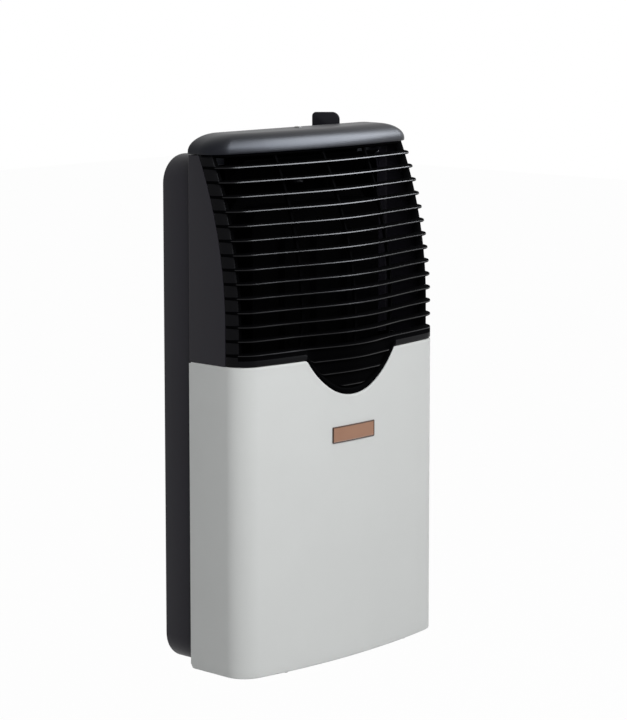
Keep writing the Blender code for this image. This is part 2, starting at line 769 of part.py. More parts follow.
def build_plate(bm):
    """Blank plate that follows the bow, with a fine raised rim."""
    def column(x):
        def at(z, stand):
            point, normal = plan_point(angle_at(x))
            return point + normal * stand + Vector((0, 0, z))
        low = PLATE_BOTTOM
        high = PLATE_BOTTOM + PLATE_HEIGHT
        side = PLATE_WIDTH / 2 - abs(x) < PLATE_RIM * 0.9
        face = PLATE_THICKNESS if side else PLATE_THICKNESS - PLATE_RIM_RISE
        edge = PLATE_THICKNESS - PLATE_RIM_RISE
        return ([at(low, edge), at(low + PLATE_RIM * 0.5, PLATE_THICKNESS), at(low + PLATE_RIM, face),
                 at(high - PLATE_RIM, face), at(high - PLATE_RIM * 0.5, PLATE_THICKNESS), at(high, edge)],
                [at(low, GAP)] * 3 + [at(high, GAP)] * 3)
    half = PLATE_WIDTH / 2
    xs = mirrored([0.0, half / 3, half * 2 / 3, half - PLATE_RIM, half - PLATE_RIM / 2, half])
    columns = [column(x) for x in xs]
    sheet(bm, [c[0] for c in columns], [c[1] for c in columns])


# Rear casing

def casing_ring(inset, depth):
    half = CASING_WIDTH / 2 - inset
    radius = CASING_CORNER - inset
    outline = round_box(-half, half, inset, CASING_HEIGHT - inset, radius)
    return [Vector((x, -depth, z)) for x, z in outline]


def build_casing(bm):
    """Pressed pan, open to the room, with a flange turned in round its rim."""
    loft(bm, [casing_ring(0.0, 0.0), casing_ring(0.0, CASING_DEPTH),
              casing_ring(CASING_FLANGE, CASING_DEPTH),
              casing_ring(CASING_FLANGE, CASING_DEPTH - CASING_SHEET),
              casing_ring(CASING_SHEET, CASING_DEPTH - CASING_SHEET),
              casing_ring(CASING_SHEET, CASING_SHEET)])


def cut_casing(bm):
    """Flue hole, four wall holes, the two control holes in the top and the gas pipe's opening."""
    through = CASING_SHEET * 3
    turned(bm, pin(AIR_RADIUS + GAP, -through, through), (0, 0, FLUE_HEIGHT), "Y", sides=24)
    for x in (-WALL_HOLE_X, WALL_HOLE_X):
        for z in (WALL_HOLE_INSET, CASING_HEIGHT - WALL_HOLE_INSET):
            turned(bm, pin(WALL_HOLE_RADIUS, -through, through), (x, 0, z), "Y", sides=8)
    for x, radius in ((CONTROL_X, bush_radius() + GAP), (IGNITER_X, IGNITER_RADIUS - 0.001 + GAP)):
        turned(bm, pin(radius, -through, through), (x, -CONTROL_DEPTH, CASING_HEIGHT), "Z")
    half = 0.017
    slab(bm, box_outline(inlet_x() - half, inlet_x() + half, -CONTROL_DEPTH - half, -CONTROL_DEPTH + half),
         "Z", -through, through)


# Combustion chamber

def chamber_ring(inset, depth):
    half = CHAMBER_WIDTH / 2 - inset
    low = CHAMBER_BOTTOM + inset
    high = CHAMBER_BOTTOM + CHAMBER_HEIGHT - inset
    outline = round_box(-half, half, low, high, CHAMBER_CORNER - inset, steps=3)
    return [Vector((x, -depth, z)) for x, z in outline]


def build_chamber_back(bm):
    """Rear pressing: a pan with a flange turned out."""
    split = CHAMBER_SPLIT
    loft(bm, [chamber_ring(0.0, CHAMBER_BACK), chamber_ring(0.0, split - CHAMBER_SHEET),
              chamber_ring(-CHAMBER_FLANGE, split - CHAMBER_SHEET), chamber_ring(-CHAMBER_FLANGE, split),
              chamber_ring(CHAMBER_SHEET, split), chamber_ring(CHAMBER_SHEET, CHAMBER_BACK + CHAMBER_SHEET)])


def front_split():
    return CHAMBER_SPLIT + GASKET_THICKNESS + 2 * GAP


def build_chamber_front(bm):
    """Front pressing, the mirror of the rear one."""
    split = front_split()
    loft(bm, [chamber_ring(CHAMBER_SHEET, CHAMBER_FRONT - CHAMBER_SHEET), chamber_ring(CHAMBER_SHEET, split),
              chamber_ring(-CHAMBER_FLANGE, split), chamber_ring(-CHAMBER_FLANGE, split + CHAMBER_SHEET),
              chamber_ring(0.0, split + CHAMBER_SHEET), chamber_ring(0.0, CHAMBER_FRONT)])


def build_chamber_ribs(bm):
    """Upright pressed ribs that stiffen the hot face."""
    low = WINDOW_HEIGHT + WINDOW_RADIUS * 2.4
    high = CHAMBER_BOTTOM + CHAMBER_HEIGHT - 0.030
    sunk = CHAMBER_SHEET / 2
    for k in range(CHAMBER_RIB_COUNT):
        x = CHAMBER_RIB_PITCH * (k - (CHAMBER_RIB_COUNT - 1) / 2)
        rings = []
        for inset, rise in ((0.0, -sunk), (0.0, 0.0), (0.004, CHAMBER_RIB_RISE)):
            half = CHAMBER_RIB_WIDTH / 2 - inset
            outline = round_box(x - half, x + half, low + inset, high - inset, half * 0.95, steps=2)
            rings.append([Vector((px, -CHAMBER_FRONT - rise, pz)) for px, pz in outline])
        loft(bm, rings)


def build_gasket(bm):
    low = CHAMBER_SPLIT + GAP
    high = low + GASKET_THICKNESS
    loft(bm, [chamber_ring(-CHAMBER_FLANGE, low), chamber_ring(-CHAMBER_FLANGE, high),
              chamber_ring(0.0, high), chamber_ring(0.0, low)], capped=False)


def chamber_screw_places():
    """Two rows of three, in the middle of the side flanges."""
    x = CHAMBER_WIDTH / 2 + CHAMBER_FLANGE / 2
    rows = 3
    inset = 0.040
    heights = [CHAMBER_BOTTOM + mix(inset, CHAMBER_HEIGHT - inset, k / (rows - 1)) for k in range(rows)]
    return [(side * x, z) for side in (-1, 1) for z in heights]


def cut_chamber_screws(bm):
    for x, z in chamber_screw_places():
        turned(bm, pin(CHAMBER_SCREW_RADIUS + GAP, -0.005, 0.005), (x, -CHAMBER_SPLIT, z), "Y", sides=6)


def build_chamber_screw(bm):
    face = -front_split() - CHAMBER_SHEET - GAP
    tip = -CHAMBER_SPLIT + 0.003
    profile = [(0.0, face - 0.0025), (CHAMBER_SCREW_HEAD, face - 0.0025), (CHAMBER_SCREW_HEAD, face),
               (CHAMBER_SCREW_RADIUS, face), (CHAMBER_SCREW_RADIUS, tip), (0.0, tip)]
    turned(bm, profile, (0, 0, 0), "Y", sides=6)


def build_window(bm):
    centre = (0, -CHAMBER_FRONT - GAP - 0.0008, WINDOW_HEIGHT)
    turned(bm, pin(WINDOW_RADIUS, 0.0, 0.0008), centre, "Y", sides=20)


def build_window_frame(bm):
    """Pressed ring that clamps the mica pane over its hole."""
    outer = WINDOW_RADIUS + 0.006
    lip = WINDOW_RADIUS + GAP
    hole = WINDOW_RADIUS - 0.003
    pane = 0.0008 + 2 * GAP
    profile = [(lip, -GAP), (outer, -GAP), (outer, -pane - 0.0008), (hole, -pane - 0.0008),
               (hole, -pane), (lip, -pane), (lip, -GAP)]
    turned(bm, profile, (0, -CHAMBER_FRONT, WINDOW_HEIGHT), "Y", sides=20)


def cut_chamber_front(bm):
    """Window hole, and the hole in the right wall for the injector."""
    turned(bm, pin(WINDOW_RADIUS - 0.003, -0.004, 0.004), (0, -CHAMBER_FRONT, WINDOW_HEIGHT), "Y", sides=20)
    turned(bm, pin(INJECTOR_RADIUS + GAP, -0.004, 0.004),
           (CHAMBER_WIDTH / 2, -BURNER_DEPTH, BURNER_HEIGHT), "X", sides=12)


def cut_chamber_back(bm):
    """Exhaust hole, air port near the bottom, and the slot over which the pilot plate sits."""
    turned(bm, pin(EXHAUST_RADIUS + GAP, -0.004, 0.004), (0, -CHAMBER_BACK, FLUE_HEIGHT), "Y", sides=24)
    low = CHAMBER_BOTTOM + 0.020
    slab(bm, box_outline(-AIR_PORT_WIDTH / 2, AIR_PORT_WIDTH / 2, low, low + AIR_PORT_HEIGHT), "Y",
         -CHAMBER_BACK - 0.004, -CHAMBER_BACK + 0.004)
    half = PILOT_SPACING + 0.006
    slab(bm, box_outline(PILOT_X - half, PILOT_X + half, -PILOT_DEPTH - 0.006, -PILOT_DEPTH + 0.006), "Z",
         CHAMBER_BOTTOM - 0.004, CHAMBER_BOTTOM + 0.004)


def build_chamber_mount(side):
    """Z bracket between the casing's back and the chamber's flange."""
    t = STRAP_THICKNESS
    reach = CHAMBER_WIDTH / 2 + CHAMBER_FLANGE + MOUNT_CLEARANCE
    foot = -CASING_SHEET - GAP
    tab = -CHAMBER_SPLIT + CHAMBER_SHEET + GAP
    tab_end = CHAMBER_WIDTH / 2 + 2 * CHAMBER_SHEET
    plan = [(reach + MOUNT_FOOT, foot), (reach, foot), (reach, tab + t), (tab_end, tab + t), (tab_end, tab),
            (reach + t, tab), (reach + t, foot - t), (reach + MOUNT_FOOT, foot - t)]
    return lambda bm: slab(bm, [(side * x, y) for x, y in plan], "Z", 0.0, MOUNT_WIDTH)


# Flue and air intake

def build_exhaust(bm):
    """Inner duct: from inside the chamber, through its back, to the wall stub."""
    inner = EXHAUST_RADIUS - DUCT_WALL
    seat = -CHAMBER_BACK + GAP
    profile = [(inner, seat - 0.006), (EXHAUST_RADIUS, seat - 0.006), (EXHAUST_RADIUS, seat),
               (EXHAUST_RADIUS + DUCT_FLANGE, seat), (EXHAUST_RADIUS + DUCT_FLANGE, seat + DUCT_WALL),
               (EXHAUST_RADIUS, seat + DUCT_WALL), (EXHAUST_RADIUS, DUCT_STUB), (inner, DUCT_STUB),
               (inner, seat - 0.006)]
    turned(bm, profile, (0, 0, FLUE_HEIGHT), "Y", sides=20)


def build_air_duct(bm):
    """Outer duct: flanged inside the air box, passing out through the casing's back."""
    inner = AIR_RADIUS - DUCT_WALL
    seat = -CASING_SHEET - CHAMBER_SHEET - 2 * GAP
    profile = [(inner, seat - DUCT_WALL), (AIR_RADIUS + DUCT_FLANGE, seat - DUCT_WALL),
               (AIR_RADIUS + DUCT_FLANGE, seat), (AIR_RADIUS, seat), (AIR_RADIUS, DUCT_STUB),
               (inner, DUCT_STUB), (inner, seat - DUCT_WALL)]
    turned(bm, profile, (0, 0, FLUE_HEIGHT), "Y", sides=24)


def build_air_box(bm):
    """Open-fronted box that leads fresh air down from the duct to the burner."""
    half = AIR_BOX_WIDTH / 2
    back = CASING_SHEET + GAP
    front = CHAMBER_BACK - GAP
    def ring(inset, depth):
        outline = round_box(-half + inset, half - inset, AIR_BOX_BOTTOM + inset, AIR_BOX_TOP - inset,
                            0.010 - inset, steps=2)
        return [Vector((x, -depth, z)) for x, z in outline]
    loft(bm, [ring(0.0, back), ring(0.0, front), ring(CHAMBER_SHEET, front),
              ring(CHAMBER_SHEET, back + CHAMBER_SHEET)])


def cut_air_box(bm):
    turned(bm, pin(AIR_RADIUS + GAP, -0.008, 0.008), (0, 0, FLUE_HEIGHT), "Y", sides=24)


# Burner, injector and pilot

INJECTOR_RADIUS = 0.0050


def build_burner(bm):
    """Closed at the left on a locating spigot, open at the right to the injector."""
    left = -BURNER_LENGTH / 2
    right = BURNER_LENGTH / 2
    bore = BURNER_RADIUS - BURNER_WALL
    profile = [(0.0, left - BURNER_SPIGOT_LENGTH), (BURNER_SPIGOT_RADIUS, left - BURNER_SPIGOT_LENGTH),
               (BURNER_SPIGOT_RADIUS, left), (BURNER_RADIUS, left),
               (BURNER_RADIUS, right), (bore, right), (bore, left + BURNER_WALL), (0.0, left + BURNER_WALL)]
    turned(bm, profile, (0, -BURNER_DEPTH, BURNER_HEIGHT), "X", sides=12, turn=0.5)


def cut_burner(bm):
    """A row of flame ports along the top."""
    for k in range(BURNER_PORTS):
        x = mix(-BURNER_LENGTH / 2 + 0.012, BURNER_LENGTH / 2 - 0.030, k / (BURNER_PORTS - 1))
        slab(bm, box_outline(x - BURNER_PORT_WIDTH / 2, x + BURNER_PORT_WIDTH / 2,
                             -BURNER_DEPTH - 0.004, -BURNER_DEPTH + 0.004), "Z",
             BURNER_HEIGHT + BURNER_RADIUS * 0.5, BURNER_HEIGHT + BURNER_RADIUS * 1.5)


def burner_bracket_places():
    """The left plate holds the spigot, the right one the tube."""
    return [(-(BURNER_LENGTH + BURNER_SPIGOT_LENGTH) / 2, BURNER_SPIGOT_RADIUS + GAP),
            (BURNER_LENGTH / 2 - 0.012, BURNER_RADIUS + GAP)]


def build_burner_bracket(bm):
    low = CHAMBER_BOTTOM + CHAMBER_SHEET + 0.0008
    near = -CHAMBER_FRONT + CHAMBER_SHEET + 0.0008
    far = -front_split() - CHAMBER_SHEET
    outline = box_outline(near, far, low, BURNER_HEIGHT + BURNER_RADIUS + 0.004)
    slab(bm, outline, "X", -STRAP_THICKNESS / 2, STRAP_THICKNESS / 2)


def cut_burner_bracket(radius):
    return lambda bm: turned(bm, pin(radius, -0.003, 0.003), (0, -BURNER_DEPTH, BURNER_HEIGHT), "X", sides=16)


def build_injector(bm):
    """Brass jet: nozzle inside the chamber, hexagon nut outside."""
    wall = CHAMBER_WIDTH / 2
    profile = [(0.0, wall - 0.010), (0.0025, wall - 0.010), (INJECTOR_RADIUS, wall - 0.005),
               (INJECTOR_RADIUS, wall + GAP), (0.0085, wall + GAP), (0.0085, wall + 0.010),
               (0.0, wall + 0.010)]
    turned(bm, profile, (0, -BURNER_DEPTH, BURNER_HEIGHT), "X", sides=12)


def pilot_places():
    """Spark electrode, pilot burner and thermocouple, left to right."""
    return [PILOT_X - PILOT_SPACING, PILOT_X, PILOT_X + PILOT_SPACING]


def build_pilot_plate(bm):
    half = PILOT_SPACING + 0.011
    top = CHAMBER_BOTTOM - GAP
    slab(bm, box_outline(PILOT_X - half, PILOT_X + half, -PILOT_DEPTH - 0.0078, -PILOT_DEPTH + 0.010), "Z",
         top - 0.0015, top)


def cut_pilot_plate(bm):
    for x in pilot_places():
        turned(bm, pin(0.0030 + GAP, -0.005, 0.005), (x, -PILOT_DEPTH, CHAMBER_BOTTOM), "Z", sides=12)


def pilot_rod(profile):
    """Turned rod that hangs in the pilot plate by a small collar under the plate."""
    plate_bottom = CHAMBER_BOTTOM - GAP - 0.0015
    collar = [(0.0, -0.008), (0.0045, -0.008), (0.0045, -GAP), (0.0030, -GAP)]
    return [(radius, plate_bottom + height) for radius, height in collar + profile]


def build_pilot(bm):
    """Pilot burner with its hooded head."""
    profile = pilot_rod([(0.0030, 0.030), (0.0048, 0.032), (0.0048, 0.042), (0.0034, 0.045), (0.0, 0.045)])
    turned(bm, profile, (pilot_places()[1], -PILOT_DEPTH, 0), "Z", sides=12)


def build_thermocouple(bm):
    profile = pilot_rod([(0.0030, 0.022), (0.0020, 0.024), (0.0020, 0.044), (0.0008, 0.047), (0.0, 0.047)])
    turned(bm, profile, (pilot_places()[2], -PILOT_DEPTH, 0), "Z", sides=12)


def build_electrode(bm):
    profile = pilot_rod([(0.0030, 0.034), (0.0011, 0.035), (0.0011, 0.046), (0.0, 0.046)])
    turned(bm, profile, (pilot_places()[0], -PILOT_DEPTH, 0), "Z", sides=12)


# Gas valve and control

def inlet_x():
    return CONTROL_X - VALVE_WIDTH / 2 + 0.004


def bush_radius():
    return ROD_RADIUS + RUNNING_CLEARANCE + 0.0016


def plunger_bottom():
    return VALVE_TOP - 0.006


def plunger_top():
    return VALVE_TOP + PLUNGER_STAND


def build_valve(bm):
    rings = []
    left, right = CONTROL_X - VALVE_WIDTH / 2, CONTROL_X + VALVE_WIDTH / 2
    front, rear = -CONTROL_DEPTH - VALVE_DEPTH / 2, -CONTROL_DEPTH + VALVE_DEPTH / 2
    outline = round_box(left, right, front, rear, 0.006, steps=3)
    small = round_box(left + 0.002, right - 0.002, front + 0.002, rear - 0.002, 0.005, steps=3)
    for points, z in ((small, VALVE_BOTTOM), (outline, VALVE_BOTTOM + 0.002), (outline, VALVE_TOP - 0.008),
                      (small, VALVE_TOP - 0.006)):
        rings.append([Vector((x, y, z)) for x, y in points])
    loft(bm, rings)


def join_valve(bm):
    """Round bonnet for the plunger, and an outlet boss on the right."""
    turned(bm, pin(0.012, VALVE_TOP - 0.010, VALVE_TOP), (CONTROL_X, -CONTROL_DEPTH, 0), "Z", sides=16)
    turned(bm, pin(0.0075, VALVE_WIDTH / 2 - 0.003, VALVE_WIDTH / 2 + 0.005),
           (CONTROL_X, -CONTROL_DEPTH, outlet_height()), "X", sides=12)


def cut_valve(bm):
    """Bore for the plunger, deep enough for its travel."""
    low = plunger_bottom() - KNOB_TRAVEL - 0.0008
    turned(bm, pin(PLUNGER_RADIUS + RUNNING_CLEARANCE, low, VALVE_TOP + 0.002),
           (CONTROL_X, -CONTROL_DEPTH, 0), "Z", sides=14, turn=0.3)


def outlet_height():
    return (VALVE_BOTTOM + VALVE_TOP) / 2


def build_valve_bracket(bm):
    """Hat-section plate between the casing's back and the valve."""
    top_y = -CONTROL_DEPTH + VALVE_DEPTH / 2 + GAP
    foot_y = -CASING_SHEET - GAP
    t = STRAP_THICKNESS
    half = VALVE_SEAT_HALF_WIDTH
    end = half + VALVE_FOOT
    plan = [(end, foot_y), (half, foot_y), (half, top_y + t), (-half, top_y + t), (-half, foot_y),
            (-end, foot_y), (-end, foot_y - t), (-half - t, foot_y - t), (-half - t, top_y),
            (half + t, top_y), (half + t, foot_y - t), (end, foot_y - t)]
    slab(bm, [(CONTROL_X + x, y) for x, y in plan], "Z", VALVE_BOTTOM + 0.006, VALVE_TOP - 0.010)


def build_inlet(bm):
    """Threaded inlet nipple under the valve, with its hexagon."""
    top = VALVE_BOTTOM - GAP
    bore = 0.006
    profile = [(bore, 0.006), (0.0100, 0.006), (0.0104, 0.0075), (0.0104, top - 0.009), (0.0130, top - 0.009),
               (0.0130, top), (bore, top), (bore, 0.006)]
    turned(bm, profile, (inlet_x(), -CONTROL_DEPTH, 0), "Z", sides=18)


def build_plunger(bm):
    """Sliding sleeve that the rod presses; it opens the flame safety magnet."""
    socket = plunger_bottom() + 0.008
    bore = ROD_RADIUS + RUNNING_CLEARANCE
    profile = [(0.0, plunger_bottom()), (PLUNGER_RADIUS, plunger_bottom()), (PLUNGER_RADIUS, plunger_top()),
               (bore, plunger_top()), (bore, socket), (0.0, socket)]
    turned(bm, [(r, z) for r, z in profile], (CONTROL_X, -CONTROL_DEPTH, 0), "Z", sides=16)


def knob_low():
    return CASING_HEIGHT + KNOB_TRAVEL + 0.0012


def build_rod(bm):
    """Long rod from the knob at the top down to the valve's plunger."""
    low = plunger_bottom() + 0.008 + RUNNING_CLEARANCE
    high = knob_low() + KNOB_SKIRT_HEIGHT - 0.003
    profile = [(0.0, low), (ROD_RADIUS * 0.7, low), (ROD_RADIUS, low + 0.001),
               (ROD_RADIUS, high), (0.0, high)]
    turned(bm, profile, (0, 0, 0), "Z", sides=12)


def build_bush(bm):
    """Flanged bush that guides the rod through the casing's top."""
    bore = ROD_RADIUS + RUNNING_CLEARANCE
    under = CASING_HEIGHT - CASING_SHEET
    seat, top = CASING_HEIGHT + GAP, CASING_HEIGHT + 0.0009
    profile = [(bore, under - 0.006), (bush_radius(), under - 0.006), (bush_radius(), seat),
               (0.0085, seat), (0.0085, top), (bore, top), (bore, under - 0.006)]
    turned(bm, profile, (CONTROL_X, -CONTROL_DEPTH, 0), "Z", sides=16)


def build_knob(bm):
    """Skirt of the knob, with a blind bore for the rod."""
    low = knob_low()
    bore = ROD_RADIUS + GAP
    top = low + KNOB_SKIRT_HEIGHT
    bore_top = top - 0.003 + GAP
    profile = [(0.0, bore_top), (bore, bore_top), (bore, low), (KNOB_RADIUS - 0.0006, low),
               (KNOB_RADIUS, low + 0.0006), (KNOB_RADIUS - 0.0010, top - 0.0030),
               (KNOB_RADIUS - 0.0040, top - 0.0004), (0.0, top)]
    turned(bm, profile, (0, 0, 0), "Z", sides=20)


def build_blade(bm):
    """Grip blade: low round at the wall end, large round at the pointer end."""
    low = knob_low() + KNOB_SKIRT_HEIGHT - 0.002
    half = KNOB_RADIUS - 0.0002
    outline = [(half, low)]
    for centre, radius, start in ((half, BLADE_WALL_ROUND, 0), (-half, BLADE_POINTER_ROUND, 90)):
        cy = centre - math.copysign(radius, centre)
        for k in range(5):
            angle = math.radians(start + 90 * k / 4)
            outline.append((cy + radius * math.cos(angle), KNOB_TOP - radius + radius * math.sin(angle)))
    outline.append((-half, low))
    t = BLADE_THICKNESS / 2
    soft = 0.0008
    inner = [(y * (1 - soft / half), z - soft if z > low else z) for y, z in outline]
    rings = []
    for points, x in ((inner, -t), (outline, -t + soft), (outline, t - soft), (inner, t)):
        rings.append([Vector((x, y, z)) for y, z in points])
    loft(bm, rings)


# Piezo igniter

def build_igniter(bm):
    """Body under the casing's top, with a neck through it that guides the button."""
    under = CASING_HEIGHT - CASING_SHEET - GAP
    low = under - IGNITER_LENGTH
    neck = IGNITER_RADIUS - 0.001
    bore = BUTTON_RADIUS + RUNNING_CLEARANCE
    floor = CASING_HEIGHT - BUTTON_TRAVEL - 0.006
    profile = [(0.0, low), (IGNITER_RADIUS, low), (IGNITER_RADIUS, under), (neck, under),
               (neck, CASING_HEIGHT + 0.0045), (bore, CASING_HEIGHT + 0.0045), (bore, floor), (0.0, floor)]
    turned(bm, profile, (IGNITER_X, -CONTROL_DEPTH, 0), "Z", sides=16)


def build_igniter_nut(bm):
    low = CASING_HEIGHT + GAP
    profile = ring_profile(IGNITER_RADIUS - 0.001 + 0.0015, 0.0112, low, low + 0.003)
    turned(bm, profile, (IGNITER_X, -CONTROL_DEPTH, 0), "Z", sides=6)


def build_button(bm):
    low = CASING_HEIGHT - 0.005
    profile = [(0.0, low), (BUTTON_RADIUS, low), (BUTTON_RADIUS, BUTTON_TOP - 0.001),
               (BUTTON_RADIUS - 0.001, BUTTON_TOP), (0.0, BUTTON_TOP)]
    turned(bm, profile, (0, 0, 0), "Z", sides=16)


# Deflector and cover fastening

def build_deflector(bm):
    """Bent sheet over the chamber that throws the warm air forward, away from the cap."""
    t = DEFLECTOR_SHEET
    back = -CABINET_REAR - CAP_WALL - GAP
    high = CAP_LIP_HEIGHT - CAP_SKIRT + DEFLECTOR_RISE
    low = high - DEFLECTOR_HEIGHT
    front = back - DEFLECTOR_REACH
    outline = [(back, high), (back, low), (back - 0.004, low - 0.0025), (front, high - 0.004),
               (front, high - 0.004 + t), (back - 0.004, low - 0.0025 + t * 1.4), (back - t, low + t),
               (back - t, high)]
    slab(bm, outline, "X", -DEFLECTOR_HALF_WIDTH, DEFLECTOR_HALF_WIDTH)


def build_cover_bracket(bm):
    """Strap from the casing's rim to the bottom return of the cover."""
    t = STRAP_THICKNESS
    low = CABINET_SHEET + GAP
    high = low + COVER_STRAP_HEIGHT
    rim = -CASING_DEPTH - GAP
    front = plan_point(angle_at(COVER_BRACKET_X + COVER_STRAP_HALF_WIDTH))[0].y + COVER_STRAP_SETBACK
    outline = [(front, low), (rim, low), (rim, high), (rim - t, high), (rim - t, low + t), (front, low + t)]
    slab(bm, outline, "X", -COVER_STRAP_HALF_WIDTH, COVER_STRAP_HALF_WIDTH)


def build_cover_screw(bm):
    """Low head under the cover's bottom return."""
    y = plan_point(angle_at(COVER_BRACKET_X))[0].y + BOTTOM_RETURN * 0.62
    profile = [(0.0, -0.0016), (0.0022, -0.0016), (0.0032, -0.0008), (0.0032, -GAP), (0.0, -GAP)]
    turned(bm, profile, (0, y, 0), "Z", sides=10)


# Assembly

piece("front_cover", pale, build_cover)
piece("side_panel_left", charcoal, build_side_panel(-1))
piece("side_panel_right", charcoal, build_side_panel(1))
piece("grille", black, build_grille)
piece("top_cap", cap_grey, build_cap)
piece("cap_screw", steel, build_cap_screw)
piece("nameplate", copper, build_plate)

casing = piece("rear_casing", charcoal, build_casing)
boolean(casing, "casing_cutter", cut_casing)

chamber_back = piece("chamber_back", enamel, build_chamber_back)
boolean(chamber_back, "chamber_back_cutter", cut_chamber_back)
boolean(chamber_back, "back_screw_cutter", cut_chamber_screws)
chamber_front = piece("chamber_front", enamel, build_chamber_front)
boolean(chamber_front, "rib_tool", build_chamber_ribs, "UNION")
boolean(chamber_front, "chamber_front_cutter", cut_chamber_front)
boolean(chamber_front, "front_screw_cutter", cut_chamber_screws)
gasket = piece("chamber_gasket", fibre, build_gasket)
boolean(gasket, "gasket_cutter", cut_chamber_screws)
for number, (x, z) in enumerate(chamber_screw_places(), 1):
    piece(f"chamber_screw_{number}", steel, build_chamber_screw, place=(x, 0.0, z))
for name, side in (("left", -1), ("right", 1)):
    for level, z in zip(("lower", "upper"), MOUNT_HEIGHTS):
        piece(f"chamber_mount_{level}_{name}", steel, build_chamber_mount(side), place=(0.0, 0.0, z))
piece("sight_window", mica, build_window)
piece("sight_window_frame", steel, build_window_frame)

piece("exhaust_duct", aluminium, build_exhaust)
piece("air_duct", aluminium, build_air_duct)
air_box = piece("air_box", aluminium, build_air_box)
boolean(air_box, "air_box_cutter", cut_air_box)

burner = piece("burner_tube", aluminium, build_burner)
boolean(burner, "burner_cutter", cut_burner)
for name, (x, radius) in zip(("left", "right"), burner_bracket_places()):
    bracket = piece(f"burner_bracket_{name}", steel, build_burner_bracket, place=(x, 0.0, 0.0))
    boolean(bracket, f"{name}_bracket_cutter", cut_burner_bracket(radius))
piece("injector", brass, build_injector)
pilot_plate = piece("pilot_plate", steel, build_pilot_plate)
boolean(pilot_plate, "pilot_plate_cutter", cut_pilot_plate)
piece("pilot_burner", brass, build_pilot)
piece("thermocouple", steel, build_thermocouple)
piece("spark_electrode", ceramic, build_electrode)

valve = piece("gas_valve", aluminium, build_valve)
boolean(valve, "valve_bosses", join_valve, "UNION")
boolean(valve, "valve_cutter", cut_valve)
piece("valve_bracket", steel, build_valve_bracket)
piece("gas_inlet", brass, build_inlet)
piece("rod_bush", brass, build_bush)
piece("piezo_igniter", black, build_igniter)
piece("igniter_nut", steel, build_igniter_nut)
piece("heat_deflector", aluminium, build_deflector)
for name, x in (("left", -COVER_BRACKET_X), ("right", COVER_BRACKET_X)):
    piece(f"cover_bracket_{name}", steel, build_cover_bracket, place=(x, 0.0, 0.0))
    piece(f"cover_screw_{name}", steel, build_cover_screw, place=(x, 0.0, 0.0))

# Moving pieces: each one's origin lies on the axis that it turns about or slides along
control_place = (CONTROL_X, -CONTROL_DEPTH, 0.0)
piece("valve_plunger", brass, build_plunger)
piece("control_rod", steel, build_rod, place=control_place)
knob = piece("control_knob", black, build_knob, place=control_place)
boolean(knob, "blade_tool", build_blade, "UNION")
piece("igniter_button", black, build_button, place=(IGNITER_X, -CONTROL_DEPTH, 0.0))

# Pipes and leads
outlet = CONTROL_X + VALVE_WIDTH / 2 + 0.005 + GAP
nut_face = CHAMBER_WIDTH / 2 + 0.010 + GAP
tube("burner_feed_pipe", aluminium,
     [(outlet, -CONTROL_DEPTH, outlet_height()), (outlet + 0.008, -CONTROL_DEPTH, outlet_height()),
      (outlet + 0.018, -CONTROL_DEPTH - 0.006, outlet_height() + 0.010),
      (outlet + 0.020, -CONTROL_DEPTH - 0.022, BURNER_HEIGHT - 0.025),
      (nut_face + 0.019, -BURNER_DEPTH + 0.008, BURNER_HEIGHT - 0.004),
      (nut_face + 0.009, -BURNER_DEPTH, BURNER_HEIGHT), (nut_face, -BURNER_DEPTH, BURNER_HEIGHT)],
     0.0035)
collar_low = CHAMBER_BOTTOM - 2 * GAP - 0.0015 - 0.008
valve_front = -CONTROL_DEPTH - VALVE_DEPTH / 2 - GAP
tube("pilot_tube", copper_tube,
     [(pilot_places()[1], -PILOT_DEPTH, collar_low), (pilot_places()[1], -PILOT_DEPTH, collar_low - 0.005),
      (pilot_places()[1] + 0.006, -PILOT_DEPTH, collar_low - 0.018),
      (CONTROL_X - 0.008, valve_front - 0.006, outlet_height() - 0.004),
      (CONTROL_X - 0.008, valve_front, outlet_height() - 0.004)],
     0.0020)
tube("thermocouple_lead", copper_tube,
     [(pilot_places()[2], -PILOT_DEPTH, collar_low), (pilot_places()[2], -PILOT_DEPTH, collar_low - 0.005),
      (pilot_places()[2] + 0.010, -PILOT_DEPTH, collar_low - 0.016),
      (CONTROL_X + 0.008, valve_front - 0.006, outlet_height()),
      (CONTROL_X + 0.008, valve_front, outlet_height())],
     0.0015)
lead_x = AIR_BOX_WIDTH / 2 + 0.011
igniter_low = CASING_HEIGHT - CASING_SHEET - 2 * GAP - IGNITER_LENGTH
tube("ignition_lead", dark_wire,
     [(pilot_places()[0], -PILOT_DEPTH, collar_low), (pilot_places()[0], -PILOT_DEPTH, collar_low - 0.004),
      (pilot_places()[0] - 0.004, -PILOT_DEPTH + 0.014, collar_low - 0.006),
      (lead_x - 0.012, -0.018, AIR_BOX_BOTTOM - 0.014), (lead_x, -0.014, AIR_BOX_BOTTOM + 0.016),
      (lead_x, -0.014, mix(AIR_BOX_BOTTOM, AIR_BOX_TOP, 0.5)), (lead_x, -0.014, AIR_BOX_TOP - 0.010),
      (IGNITER_X + 0.018, -CONTROL_DEPTH + 0.003, igniter_low - 0.024),
      (IGNITER_X, -CONTROL_DEPTH, igniter_low - 0.006),
      (IGNITER_X, -CONTROL_DEPTH, igniter_low)],
     0.0015)
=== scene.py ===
import json
import math

import bpy
from mathutils import Matrix, Vector


